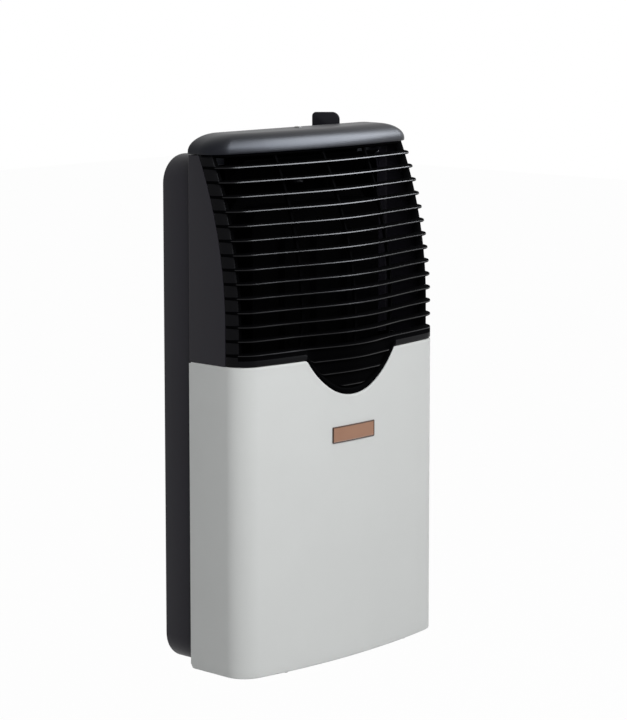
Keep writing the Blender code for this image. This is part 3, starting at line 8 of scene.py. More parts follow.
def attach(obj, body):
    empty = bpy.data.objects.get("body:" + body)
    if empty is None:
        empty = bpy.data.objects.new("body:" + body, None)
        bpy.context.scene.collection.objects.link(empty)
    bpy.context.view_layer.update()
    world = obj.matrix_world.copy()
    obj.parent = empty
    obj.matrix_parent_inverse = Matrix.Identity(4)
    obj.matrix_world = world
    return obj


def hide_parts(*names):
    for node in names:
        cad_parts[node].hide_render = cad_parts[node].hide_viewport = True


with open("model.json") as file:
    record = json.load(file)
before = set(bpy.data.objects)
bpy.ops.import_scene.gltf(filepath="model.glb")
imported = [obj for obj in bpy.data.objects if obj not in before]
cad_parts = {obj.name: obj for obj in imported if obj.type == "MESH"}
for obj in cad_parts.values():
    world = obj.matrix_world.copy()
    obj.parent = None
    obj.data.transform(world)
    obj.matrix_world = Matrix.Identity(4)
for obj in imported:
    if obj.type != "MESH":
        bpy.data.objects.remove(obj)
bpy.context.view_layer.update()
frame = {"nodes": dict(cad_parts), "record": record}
nodes = frame["nodes"]

# Cabinet, in metres. Heights are measured from the heater's bottom edge, and every mesh is
# lowered by ORIGIN_HEIGHT when it is made.
ORIGIN_HEIGHT = 0.290
HALF_WIDTH = 0.165
FRONT_REACH = 0.1454  # from the wall to the middle of the cover
CABINET_REAR = 0.0472  # from the wall to the cabinet's rear edge
BOW_RADIUS = 0.800
CORNER_RADIUS = 0.0285
COVER_HEIGHT = 0.351
SHEET = 0.0010
REAR_FLANGE = 0.0140  # inward reach of the flanges along the cabinet's rear edge
BROW_START = 0.394  # above this height the front curves back
BROW_RADIUS = 0.458
CAP_LIP_HEIGHT = 0.5827
CONTROL_DEPTH = 0.0232  # from the wall to the axes of the knob and the igniter
KNOB_X = 0.085
IGNITER_X = 0.035
QUARTER = math.pi / 2


# Materials

MOTTLE_SCALE = 14.0
MOTTLE_DETAIL = 4.0
MOTTLE_BAND = (0.3, 0.7)  # part of the noise over which the colour changes
GRAIN_DETAIL = 2.0
GRAIN_DEPTH = 0.0004
LEAST_ROUGHNESS = 0.02


def shade(name, colour, roughness, metallic=0.0, grain=0.0, grain_scale=900.0, mottle=0.04, wear=0.08,
          shine=0.5, sheen=(1.0, 1.0, 1.0)):
    """A Principled material with fine grain, faint mottling of its colour and uneven gloss.

    The colour varies by the share mottle, the roughness by the amount wear.
    """
    material = bpy.data.materials.new(name)
    material.use_nodes = True
    tree = material.node_tree
    shader = tree.nodes["Principled BSDF"]
    shader.inputs["Metallic"].default_value = metallic
    shader.inputs["Specular IOR Level"].default_value = shine
    shader.inputs["Specular Tint"].default_value = (*sheen, 1.0)
    place = tree.nodes.new("ShaderNodeTexCoord")
    cloud = tree.nodes.new("ShaderNodeTexNoise")
    cloud.inputs["Scale"].default_value = MOTTLE_SCALE
    cloud.inputs["Detail"].default_value = MOTTLE_DETAIL
    tree.links.new(place.outputs["Object"], cloud.inputs["Vector"])
    ramp = tree.nodes.new("ShaderNodeValToRGB")
    for end, share in ((0, 1 - mottle), (1, 1 + mottle)):
        element = ramp.color_ramp.elements[end]
        element.position = MOTTLE_BAND[end]
        element.color = (*[min(1.0, c * share) for c in colour], 1.0)
    tree.links.new(cloud.outputs["Fac"], ramp.inputs["Fac"])
    tree.links.new(ramp.outputs["Color"], shader.inputs["Base Color"])
    gloss = tree.nodes.new("ShaderNodeMapRange")
    gloss.inputs["To Min"].default_value = max(LEAST_ROUGHNESS, roughness - wear)
    gloss.inputs["To Max"].default_value = min(1.0, roughness + wear)
    tree.links.new(cloud.outputs["Fac"], gloss.inputs["Value"])
    tree.links.new(gloss.outputs["Result"], shader.inputs["Roughness"])
    if grain:
        fine = tree.nodes.new("ShaderNodeTexNoise")
        fine.inputs["Scale"].default_value = grain_scale
        fine.inputs["Detail"].default_value = GRAIN_DETAIL
        tree.links.new(place.outputs["Object"], fine.inputs["Vector"])
        bump = tree.nodes.new("ShaderNodeBump")
        bump.inputs["Strength"].default_value = grain
        bump.inputs["Distance"].default_value = GRAIN_DEPTH
        tree.links.new(fine.outputs["Fac"], bump.inputs["Height"])
        tree.links.new(bump.outputs["Normal"], shader.inputs["Normal"])
    return material


GRILLE_COLOUR = (0.0022, 0.0022, 0.0028)
# Finishes under the names of the record's material slots
FINISHES = {
    "cover_enamel": dict(colour=(0.650, 0.664, 0.655), roughness=0.38, grain=0.04, mottle=0.010,
                         wear=0.03, shine=0.22),
    "grille_black": dict(colour=GRILLE_COLOUR, roughness=0.42, grain=0.06, mottle=0.1, wear=0.04,
                         shine=0.06),
    "charcoal_paint": dict(colour=(0.0165, 0.0155, 0.0205), roughness=0.46, grain=0.16, mottle=0.04,
                           wear=0.04, shine=0.15),
    "cap_paint": dict(colour=(0.0040, 0.0042, 0.0065), roughness=0.38, grain=0.05, mottle=0.03,
                      wear=0.03, shine=0.18, sheen=(0.88, 0.92, 1.0)),
    "plate_copper": dict(colour=(0.27, 0.145, 0.092), roughness=0.46, metallic=0.45, mottle=0.05,
                         shine=0.2),
    "zinc_steel": dict(colour=(0.30, 0.30, 0.29), roughness=0.42, metallic=1.0, grain=0.06,
                       mottle=0.12),
    # Near black with almost no reflection, as painted shade for the inside seen through the slots
    "chamber_enamel": dict(colour=(0.0012, 0.0012, 0.0014), roughness=0.80, grain=0.25, mottle=0.15,
                           shine=0.005),
    "sealing_fibre": dict(colour=(0.66, 0.62, 0.54), roughness=0.95, grain=0.6, grain_scale=500,
                          mottle=0.1),
    "mica": dict(colour=(0.36, 0.29, 0.19), roughness=0.12, mottle=0.2),
    "aluminised_steel": dict(colour=(0.34, 0.35, 0.36), roughness=0.40, metallic=1.0, grain=0.08,
                             mottle=0.15),
    "cast_aluminium": dict(colour=(0.40, 0.40, 0.40), roughness=0.5, metallic=1.0, grain=0.3,
                           grain_scale=600),
    "brass": dict(colour=(0.50, 0.35, 0.14), roughness=0.32, metallic=1.0, mottle=0.12),
    "copper_tube": dict(colour=(0.45, 0.20, 0.12), roughness=0.34, metallic=1.0, mottle=0.15),
    "ceramic": dict(colour=(0.75, 0.73, 0.68), roughness=0.2, mottle=0.03),
    "control_black": dict(colour=(0.0050, 0.0050, 0.0070), roughness=0.42, grain=0.08, mottle=0.1,
                          shine=0.15),
    "lead_silicone": dict(colour=(0.012, 0.012, 0.013), roughness=0.5, mottle=0.08),
}
looks = {name: shade(name, **finish) for name, finish in FINISHES.items()}
nose_black = shade("nose_black", GRILLE_COLOUR, 0.30, grain=0.03, mottle=0.1, wear=0.03, shine=0.20)
plate_rim = shade("plate_rim", (0.055, 0.030, 0.021), 0.50, metallic=0.3, mottle=0.05, shine=0.2)
# Near black with almost no reflection: painted shade for recesses, slot walls, linings and the casing's
# inside
painted_shade_black = shade("painted_shade_black", (0.0011, 0.0011, 0.0013), 0.80, mottle=0.1, wear=0.03, shine=0.005)

# Pieces behind the louvres, which take the chamber's near-black look as painted shade instead of their own
# finish
PAINTED_SHADE_PIECES = ["heat_deflector", "control_rod", "rod_bush", "chamber_gasket", "ignition_lead"]
PAINTED_SHADE_FAMILIES = ("chamber_screw", "chamber_mount", "sight_window_frame")
for entry in frame["record"]["subparts"]:
    node = nodes[entry["node"]]
    in_painted_shade = entry["node"] in PAINTED_SHADE_PIECES or entry["node"].startswith(PAINTED_SHADE_FAMILIES)
    # listed pieces get the chamber's near-black look: painted shade
    look = looks["chamber_enamel" if in_painted_shade else entry["material_slot"]]
    if node.material_slots:
        node.material_slots[0].material = look
    else:
        node.data.materials.append(look)


# Helpers

LINING = 2  # coat number of a shell's inner side and rims


def mix(a, b, t):
    return a + (b - a) * t


def clamp01(value):
    return min(1.0, max(0.0, value))


def mirrored(values):
    """The values and their opposites, from the lowest up; a first value of 0 comes once."""
    middle = [0.0] if values[0] == 0.0 else []
    right = [v for v in values if v > 0.0]
    return [-v for v in reversed(right)] + middle + right


def flipped(points, faces):
    return points, [tuple(reversed(face)) for face in faces]


def lowered_mesh(name, points, faces):
    """A mesh of points whose heights are measured from the bottom edge."""
    mesh = bpy.data.meshes.new(name)
    mesh.from_pydata([(p[0], p[1], p[2] - ORIGIN_HEIGHT) for p in points], [], faces)
    return mesh


def soften(mesh, sharp):
    """Shade a mesh smooth, apart from edges that turn by more than sharp degrees."""
    mesh.shade_smooth()
    mesh.set_sharp_from_angle(angle=math.radians(sharp))


def show(name, shape, slot, body, *replaced, sharp=40, coats=()):
    """Make a piece and fit it to its body.

    A shape is points and faces, and with coats also a number for each face: 0 is the slot's
    own look, and 1 and 2 are the further coats.
    """
    mesh = lowered_mesh(name, shape[0], shape[1])
    for material in (looks[slot], *coats):
        mesh.materials.append(material)
    if coats:
        for face, coat in zip(mesh.polygons, shape[2]):
            face.material_index = coat
    mesh.validate()
    soften(mesh, sharp)
    piece = bpy.data.objects.new(name, mesh)
    bpy.context.scene.collection.objects.link(piece)
    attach(piece, body)
    if replaced:
        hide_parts(*replaced)
    return piece


def loft(rings):
    """Points and faces of a skin over rings of equal length, closed at both ends.

    The rings run so that the faces point out.
    """
    count = len(rings[0])
    points = [p for ring in rings for p in ring]
    faces = []
    for low in range(0, len(points) - count, count):
        high = low + count
        for i in range(count):
            j = (i + 1) % count
            faces.append((low + i, low + j, high + j, high + i))
    faces.append(tuple(reversed(range(count))))
    faces.append(tuple(range(len(points) - count, len(points))))
    return points, faces


ACROSS = {"Y": (2, 0, 1), "Z": (0, 1, 2)}  # the two directions across an axis, then the axis


def turned(profile, centre, axis, sides):
    """Points and faces of a turned shape; its profile of (radius, height) starts and ends on the axis."""
    across = ACROSS[axis]
    points, rings, faces = [], [], []
    for radius, height in profile:
        ring = []
        for k in range(sides if radius > 0 else 1):
            angle = 2 * math.pi * k / sides
            point = list(centre)
            point[across[0]] += radius * math.cos(angle)
            point[across[1]] += radius * math.sin(angle)
            point[across[2]] += height
            ring.append(len(points))
            points.append(point)
        rings.append(ring)
    for low, high in zip(rings, rings[1:]):
        for k in range(sides):
            n = (k + 1) % sides
            if len(low) == 1:
                faces.append((low[0], high[n], high[k]))
            elif len(high) == 1:
                faces.append((low[k], low[n], high[0]))
            else:
                faces.append((low[k], low[n], high[n], high[k]))
    return points, faces


def shell(outer, inner, coat, present=lambda i, j: True):
    """Points, faces and coat numbers of the closed body between two grids of points.

    coat(i, j) numbers an outer face and present(i, j) says whether a face is there. Points
    that coincide are joined, so a row may run out into a point.
    """
    points, layers = [], []
    for grid in (outer, inner):
        seen, ids = {}, []
        for column in grid:
            row = []
            for point in column:
                key = tuple(round(c, 7) for c in point)
                if key not in seen:
                    seen[key] = len(points)
                    points.append(point)
                row.append(seen[key])
            ids.append(row)
        layers.append(ids)
    front, back = layers
    faces, coats, partner, sides = [], [], {}, {}
    for i in range(len(outer) - 1):
        for j in range(len(outer[0]) - 1):
            if not present(i, j):
                continue
            ring, lining = [], []
            for a, b in ((i, j), (i + 1, j), (i + 1, j + 1), (i, j + 1)):
                partner[front[a][b]] = back[a][b]
                if front[a][b] not in ring:
                    ring.append(front[a][b])
                if back[a][b] not in lining:
                    lining.append(back[a][b])
            if len(ring) >= 3:
                faces.append(tuple(ring))
                coats.append(coat(i, j))
                for side in zip(ring, ring[1:] + ring[:1]):
                    sides[side] = True
            if len(lining) >= 3:
                faces.append(tuple(reversed(lining)))
                coats.append(LINING)
    for a, b in sides:
        if (b, a) not in sides:
            ring = [b, a, partner[a]]
            if partner[a] != partner[b]:
                ring.append(partner[b])
            faces.append(tuple(ring))
            coats.append(LINING)
    return points, faces, coats


# Cabinet plan and profile

def plan_point(angle, half_width=HALF_WIDTH, front=-FRONT_REACH, corner=CORNER_RADIUS):
    """Point and normal of the bowed, round-cornered plan where its normal turns by the angle."""
    corner_x = half_width - corner
    bow_centre = front + BOW_RADIUS
    corner_y = bow_centre - math.sqrt((BOW_RADIUS - corner) ** 2 - corner_x ** 2)
    normal = Vector((math.sin(angle), -math.cos(angle), 0.0))
    if abs(angle) <= math.asin(corner_x / (BOW_RADIUS - corner)):
        return Vector((0.0, bow_centre, 0.0)) + BOW_RADIUS * normal, normal
    return Vector((math.copysign(corner_x, angle), corner_y, 0.0)) + corner * normal, normal


def corner_angles(steps, half_width=HALF_WIDTH, corner=CORNER_RADIUS):
    """Angles round the right corner, from where the bow ends."""
    start = math.asin((half_width - corner) / (BOW_RADIUS - corner))
    return [mix(start, QUARTER, k / steps) for k in range(steps + 1)]


def angle_at(x):
    """Angle of the bow's normal at a distance from the middle."""
    return math.asin(x / BOW_RADIUS)


def brow(z):
    """How far the cabinet's front has curved back at a height."""
    return BROW_RADIUS - math.sqrt(BROW_RADIUS ** 2 - max(0.0, z - BROW_START) ** 2)


# Scoop in the cover's top edge: a round bottom, a flank that curves the same way up to
# SCOOP_END, and a small fillet into the straight edge
SCOOP_DEPTH = 0.0458
SCOOP_RADIUS = 0.0703
SCOOP_TURN = math.radians(30)
FLANK_RADIUS = 0.1130
SCOOP_FILLET = 0.0040
SCOOP_STEPS, FLANK_STEPS, FILLET_STEPS = 8, 12, 6
LEAST_STEP = 0.001
FLANK_RISE = SCOOP_DEPTH - SCOOP_RADIUS * (1 - math.cos(SCOOP_TURN))
SCOOP_END = math.acos(math.cos(SCOOP_TURN) - FLANK_RISE / FLANK_RADIUS)
SCOOP_INNER_HALF = SCOOP_RADIUS * math.sin(SCOOP_TURN)
SCOOP_HALF = SCOOP_INNER_HALF + FLANK_RADIUS * (math.sin(SCOOP_END) - math.sin(SCOOP_TURN))
SCOOP_BOTTOM = COVER_HEIGHT - SCOOP_DEPTH
FILLET_X = SCOOP_HALF + SCOOP_FILLET * math.tan(SCOOP_END / 2)
FILLET_START = FILLET_X - SCOOP_FILLET * math.sin(SCOOP_END)


def scoop_height(x):
    """Height of the cover's top edge."""
    x = abs(x)
    if x >= FILLET_X:
        return COVER_HEIGHT
    if x >= FILLET_START:
        return COVER_HEIGHT - SCOOP_FILLET + math.sqrt(SCOOP_FILLET ** 2 - (FILLET_X - x) ** 2)
    if x <= SCOOP_INNER_HALF:
        return SCOOP_BOTTOM + SCOOP_RADIUS - math.sqrt(SCOOP_RADIUS ** 2 - x ** 2)
    start = SCOOP_BOTTOM + SCOOP_RADIUS * (1 - math.cos(SCOOP_TURN))
    side = (x - SCOOP_INNER_HALF) / FLANK_RADIUS + math.sin(SCOOP_TURN)
    return start + FLANK_RADIUS * (math.cos(SCOOP_TURN) - math.sqrt(1 - side ** 2))


def scoop_stations():
    """Distances from the middle that follow the scoop's curve."""
    inner = [SCOOP_RADIUS * math.sin(SCOOP_TURN * k / SCOOP_STEPS) for k in range(SCOOP_STEPS + 1)]
    turns = [mix(SCOOP_TURN, SCOOP_END, k / FLANK_STEPS) for k in range(1, FLANK_STEPS + 1)]
    flank = [SCOOP_INNER_HALF + FLANK_RADIUS * (math.sin(t) - math.sin(SCOOP_TURN)) for t in turns]
    flank = [x for x in flank if x < FILLET_START - LEAST_STEP]
    fillet = [FILLET_X - SCOOP_FILLET * math.sin(SCOOP_END * k / FILLET_STEPS)
              for k in range(FILLET_STEPS, -1, -1)]
    return inner + flank + fillet


# Front cover: bent sheet with a soft foot and a bead along its top edge

COVER_XS = [0.085, 0.095, 0.105, 0.115, 0.126]
COVER_CORNER_STEPS = 14
FRONT_ZONE = -0.09  # the scoop and the bead lie forward of this
FRONT_RETURN, SIDE_RETURN = 0.010, 0.0022  # inward reach of the foot's return
REAR_ROUND = 0.004
REAR_TURNS = (0, 7, 14, 21)
FOOT_ROUND = 0.0020
FOOT_STEPS = 4
FOOT_LINING_RISE = 0.0012
FOOT_TOP = 0.012
BEAD = 0.0001
# Top edge from below, outside as (inset, share of the bead, drop) and inside as (inset, drop)
EDGE_OUTSIDE = [(0.0, 0.0, 0.0120), (0.0, 0.0, 0.0046), (0.0, 0.6, 0.0041), (0.0, 1.0, 0.0033),
                (0.0, 1.0, 0.0015), (0.0002, 0.3, 0.0004), (0.0010, 0.0, 0.0), (0.0018, 0.0, 0.0)]
EDGE_INSIDE = [(SHEET, 0.0120), (SHEET, 0.0046), (SHEET, 0.0041), (0.0018, 0.0033),
               (0.0020, 0.0015), (0.0020, 0.0010), (0.0020, 0.0006), (0.0020, 0.0003)]
FLANGE_SHADE_ROW = 11  # from this row up, the rear flange's top carries painted shade


def cover_stations():
    """Stations round the cover as (point, inward direction, height of the foot, foot's return)."""
    stations = []
    right = [angle_at(x) for x in scoop_stations() + COVER_XS] + corner_angles(COVER_CORNER_STEPS)
    for angle in mirrored(right):
        point, normal = plan_point(angle)
        flat = abs(angle) > QUARTER - 0.01
        stations.append((point, -normal, 0.0, SIDE_RETURN if flat else FRONT_RETURN))
    for side in (-1, 1):
        edge = []
        for turn in REAR_TURNS:
            turn = math.radians(turn)
            y = -CABINET_REAR - REAR_ROUND * (1 - math.sin(turn))
            edge.append((Vector((side * HALF_WIDTH, y, 0)), Vector((-side, 0, 0)),
                         REAR_ROUND * (1 - math.cos(turn)), SIDE_RETURN))
        for x, inward in ((HALF_WIDTH, Vector((-side, -1, 0))),
                          (HALF_WIDTH - REAR_FLANGE, Vector((0, -1, 0)))):
            edge.append((Vector((side * x, -CABINET_REAR, 0)), inward, REAR_ROUND, SIDE_RETURN))
        stations = stations + edge if side > 0 else list(reversed(edge)) + stations
    return stations


def build_cover():
    stations = cover_stations()
    outer, inner = [], []
    for point, inward, foot, under in stations:
        in_front = point.y < FRONT_ZONE
        top = scoop_height(point.x) if in_front else COVER_HEIGHT
        bead = BEAD * abs(inward.y) ** 2 if in_front else 0.0

        def at(inset, z):
            return point + inward * inset + Vector((0, 0, z))

        column, lining = [at(under, foot)], [at(under, foot + SHEET)]
        for k in range(FOOT_STEPS + 1):
            turn = math.radians(90 / FOOT_STEPS * k)
            inset = FOOT_ROUND * (1 - math.sin(turn))
            column.append(at(inset, foot + FOOT_ROUND * (1 - math.cos(turn))))
            lining.append(at(max(SHEET, inset), foot + SHEET + FOOT_LINING_RISE * k / FOOT_STEPS))
        column.append(at(0.0, foot + FOOT_TOP))
        lining.append(at(SHEET, foot + FOOT_TOP))
        outer.append(column + [at(inset - bead * share, top - drop) for inset, share, drop in EDGE_OUTSIDE])
        inner.append(lining + [at(inset, top - drop) for inset, drop in EDGE_INSIDE])

    def coat(i, j):
        """Painted shade along the top of the rear flanges, which shows between the louvres."""
        return 1 if j >= FLANGE_SHADE_ROW and (i < 2 or i >= len(stations) - 3) else 0

    return shell(outer, inner, coat)


# The flange tops and the cover's inner side get near black: painted shade
show("cover_visual", build_cover(), "cover_enamel", "heater", "front_cover", sharp=50,
     coats=(painted_shade_black, painted_shade_black))


# Grille: louvres with round noses that swell forward above the tongue

FIN_COUNT = 17
FIN_PITCH = 0.01575
FIRST_FIN = 0.31675
TONGUE_FINS = 3
HALF_FIN = 0.0016
FIN_STAND = 0.0050  # how far the louvres stand out from the moulding between them
FIN_DEPTH = 0.0130
FIN_FADE = math.radians(45)  # turn of the corner over which they sink into it
FIN_END_RAMP = 0.004
SLOT_EDGE = corner_angles(5)[3]
SLOT_END = SLOT_EDGE - math.radians(4)
SLOT_INSET = 0.0090
RIB_OFFSET = 0.0750
HALF_RIB = 0.0015
RIM_BAND = 0.0075
RIM_ROUND = 0.0016
RIM_BLEND = 0.010
WALL = 0.0025
SEAM_GAP = 0.0005
LOW_TUCK, TOP_TUCK, TOP_TUCK_SPREAD = 0.0027, 0.0022, 0.0015
LOW_SLOT = FIRST_FIN + FIN_PITCH * TONGUE_FINS
HIGH_SLOT = CAP_LIP_HEIGHT - 0.002
# Section of a louvre's nose, from below: height from its middle, and setback as a share of
# half its thickness
FIN_NOSE = [(-0.00157, 0.85), (-0.00132, 0.48), (-0.00095, 0.20), (-0.00055, 0.05), (-0.00035, 0.0),
            (0.00060, 0.045), (0.00080, 0.09), (0.00115, 0.24), (0.00140, 0.50), (0.00157, 0.85)]
NOSE_TIP_SHARE = 0.05  # rows set back by less than this carry the bright line
# Rows along the cover's rim: height above it, kind, and setback as a share of RIM_ROUND
RIM_ROWS = [(-0.006, "tuck", 0), (0.0006, "tuck", 0), (0.0008, "rim", 1.0), (0.0013, "rim", 0.35),
            (0.0022, "rim", 0.0), (0.0064, "rim", 0.0), (0.0071, "rim", 0.3), (0.0074, "base", 0),
            (RIM_BAND, "base", 0)]
RIM_UPPER_ROW = 6  # the first row of the rim's upper rounding
# Rows under the cap, from its lip
TOP_ROWS = [(-0.004, "base", 0), (-0.002, "tuck", 0), (0.006, "tuck", 0)]
BELLY_HEIGHT = 0.383
BELLY_RISE = 0.0125
BELLY_DROP = 0.075
BELLY_POWER = 1.2
BELLY_HALF_WIDTH, BELLY_NARROWEST, BELLY_WIDEST = 0.104, 0.013, 0.125


def belly(x, z):
    """How far the grille swells forward at a place."""
    if z >= BELLY_HEIGHT:
        along = clamp01((z - BELLY_HEIGHT) / (CAP_LIP_HEIGHT - BELLY_HEIGHT))
        height = (1 - along ** 2) ** BELLY_POWER
    else:
        height = 0.5 + 0.5 * math.cos(math.pi * clamp01((BELLY_HEIGHT - z) / BELLY_DROP))
    half = min(BELLY_WIDEST, BELLY_HALF_WIDTH + z - BELLY_HEIGHT)
    return BELLY_RISE * height * math.cos(QUARTER * clamp01(abs(x) / max(half, BELLY_NARROWEST))) ** 2


def grille_levels():
    """Rows as (height, kind, setback share), and the numbers of the rows that open into slots.

    The heights of the first rows are taken from the cover's rim.
    """
    levels, slots = list(RIM_ROWS), []
    for k in range(FIN_COUNT):
        z = FIRST_FIN + FIN_PITCH * k
        if k > TONGUE_FINS:
            slots.append(len(levels) - 1)
        levels.append((z - HALF_FIN, "base", 0))
        levels += [(z + rise, "nose", share) for rise, share in FIN_NOSE]
        levels.append((z + HALF_FIN, "base", 0))
    slots.append(len(levels) - 1)
    levels += [(CAP_LIP_HEIGHT + rise, kind, share) for rise, kind, share in TOP_ROWS]
    return levels, slots


def grille_angles():
    """Plan angles of the columns, with one on each side of every rib and slot end."""
    start = corner_angles(1)[0]
    xs = [mix(HALF_RIB, RIB_OFFSET - HALF_RIB, k / 14) for k in range(15)]
    xs += [mix(RIB_OFFSET + HALF_RIB, plan_point(start)[0].x, k / 10) for k in range(10)]
    seam = QUARTER - SEAM_GAP / CORNER_RADIUS
    corner = [mix(start, SLOT_END, k / 9) for k in range(10)]
    corner += [mix(SLOT_EDGE, seam, k / 7) for k in range(8)]
    return mirrored([angle_at(x) for x in xs] + corner)


def build_grille():
    levels, slots = grille_levels()
    angles = grille_angles()
    outer, inner = [], []
    for angle in angles:
        point, normal = plan_point(angle)
        in_slots = abs(angle) <= SLOT_END + 0.01
        fade = clamp01((QUARTER - abs(angle)) / FIN_FADE)
        base = FIN_STAND * fade * fade * (3 - 2 * fade)
        rim = scoop_height(point.x) if in_slots else COVER_HEIGHT
        # 1 where the rim is straight, 0 in the scoop
        straight = clamp01((rim - COVER_HEIGHT + RIM_BLEND) / RIM_BLEND)
        column, lining = [], []
        for index, (level, kind, share) in enumerate(levels):
            follows = index < len(RIM_ROWS)
            z = rim + level if follows else max(level, rim + RIM_BAND)
            slotted = in_slots and LOW_SLOT < z < HIGH_SLOT and not follows
            depth = FIN_DEPTH if slotted else base + WALL
            inset = SLOT_INSET if slotted else base
            if kind == "tuck":
                inset = LOW_TUCK if follows else TOP_TUCK + TOP_TUCK_SPREAD * (1 + math.cos(angle))
                depth = inset + WALL
            elif kind == "rim":
                inset = share * (RIM_ROUND if index < RIM_UPPER_ROW else RIM_ROUND * (1 - straight))
            elif kind == "nose":
                reach = clamp01((z - rim - RIM_BAND) / FIN_END_RAMP)
                ends = math.sqrt(1 - (1 - reach) ** 2)
                nose = min(base, HALF_FIN * share)
                if straight > 0 and z < LOW_SLOT:
                    nose *= 1 - straight
                inset = base * (1 - ends) + nose * ends
                if z < LOW_SLOT + HALF_FIN:
                    inset = mix(inset, nose, straight)
            if kind == "base" and z < LOW_SLOT:
                inset *= 1 - straight
            swell = 0.0 if kind == "tuck" else belly(point.x, z)
            lift = Vector((0.0, brow(z) - swell, z))
            column.append(point - normal * inset + lift)
            lining.append(point - normal * depth + lift)
        outer.append(column)
        inner.append(lining)
    places = [plan_point(angle)[0].x for angle in angles]
    kinds = [kind for level, kind, share in levels]

    def present(i, j):
        """Slots are open between the ribs and up to their ends."""
        if j not in slots:
            return True
        x, turn = abs(places[i] + places[i + 1]) / 2, abs(angles[i] + angles[i + 1]) / 2
        return min(x, abs(x - RIB_OFFSET)) < HALF_RIB or turn > SLOT_END

    def coat(i, j):
        """A glossier strip along the noses where the lamp makes a bright line; near black as painted shade
        beside it, on the rim in the scoop and between louvres; satin elsewhere.
        """
        kind = (kinds[j], kinds[j + 1])
        in_front = abs(angles[i] + angles[i + 1]) / 2 < SLOT_EDGE
        if kind == ("nose", "nose") and max(levels[j][2], levels[j + 1][2]) < NOSE_TIP_SHARE and in_front:
            return 1
        if "nose" in kind or "rim" in kind and abs(places[i]) < FILLET_X:
            return 2
        between = kind == ("base", "base") or j >= len(kinds) - len(TOP_ROWS)
        return 2 if between and in_front else 0

    return shell(outer, inner, coat, present)


# Beside the glossy strip, between louvres, on the slot walls and on the inner side the grille gets near
# black: painted shade
show("grille_visual", build_grille(), "grille_black", "heater", "grille", sharp=60,
     coats=(nose_black, painted_shade_black))


# Cap: upright lip, rounding that spreads wide at the sides, flat crown, skirt at the rear

CAP_WALL = 0.0022
CAP_LIP = 0.0026
CAP_RISE = 0.0215
CAP_FRONT_ROUND, CAP_SIDE_ROUND = 0.0215, 0.0450  # inward reach of the rounding
CAP_FRONT_SETBACK = 0.0015
CAP_CORNER, CAP_CORNER_TAPER, CAP_LEAST_CORNER = 0.027, 0.85, 0.008
CAP_REAR_HALF = 0.1505
CAP_REAR_MARGIN = 0.004
CAP_STEPS = 16
CAP_BOW_STEP, CAP_BOW_STEPS, CAP_CORNER_STEPS = 0.009, 12, 12
# Rings of the lip, from outside to inside: height above it, inset, and depth of the skirt
LIP_RINGS = [(0.0012, 0, 0.0138), (0.0005, 0.0002, 0.0145), (0.0, 0.0008, 0.0150),
             (0.0003, CAP_WALL, 0.0150)]


def cap_ring(share, z, wall, skirt):
    """Plan ring of the cap's outside, or of its inside at a wall's distance, at a share of the rounding."""
    rear = -CABINET_REAR - wall
    front = -FRONT_REACH + brow(CAP_LIP_HEIGHT) + CAP_FRONT_SETBACK
    inset = wall + (CAP_FRONT_ROUND - wall) * share
    half_width = HALF_WIDTH - wall - (CAP_SIDE_ROUND - wall) * share
    corner = max(CAP_CORNER - CAP_CORNER_TAPER * inset, CAP_LEAST_CORNER)
    bow = [angle_at(CAP_BOW_STEP * k) for k in range(CAP_BOW_STEPS)]
    ring = []
    for angle in mirrored(bow + corner_angles(CAP_CORNER_STEPS, half_width, corner)):
        ring.append(plan_point(angle, half_width, front + inset, corner)[0] + Vector((0, 0, z)))
    rear_half = min(CAP_REAR_HALF, half_width - CAP_REAR_MARGIN)
    for x, drop in ((half_width, 0.0), (rear_half, 0.0), (rear_half - CAP_WALL, skirt),
                    (-rear_half + CAP_WALL, skirt), (-rear_half, 0.0), (-half_width, 0.0)):
        ring.append(Vector((x, rear, z - drop)))
    return ring


def build_cap():
    def rounding(k, wall):
        turn = QUARTER * k / CAP_STEPS
        z = CAP_LIP_HEIGHT + CAP_LIP + (CAP_RISE - CAP_LIP - wall) * math.sin(turn)
        return cap_ring(1 - math.cos(turn), z, wall, 0)

    rings = [rounding(k, 0) for k in range(CAP_STEPS, -1, -1)]
    rings += [cap_ring(0.0, CAP_LIP_HEIGHT + rise, wall, skirt) for rise, wall, skirt in LIP_RINGS]
    rings += [rounding(k, CAP_WALL) for k in range(0, CAP_STEPS + 1, 2)]
    return flipped(*loft(rings))


show("cap_visual", build_cap(), "cap_paint", "heater", "top_cap", sharp=35)


# Side panels: bent sheets whose front edge follows the grille's seam

PANEL_SEAM = 0.0007
PANEL_TOP_GAP = 0.0010
PANEL_EDGE = 0.0004
PANEL_ROUND = 0.0016
PANEL_FOLD = 0.0018  # from the outside to where the flange's inner side begins
PANEL_STEPS = 24


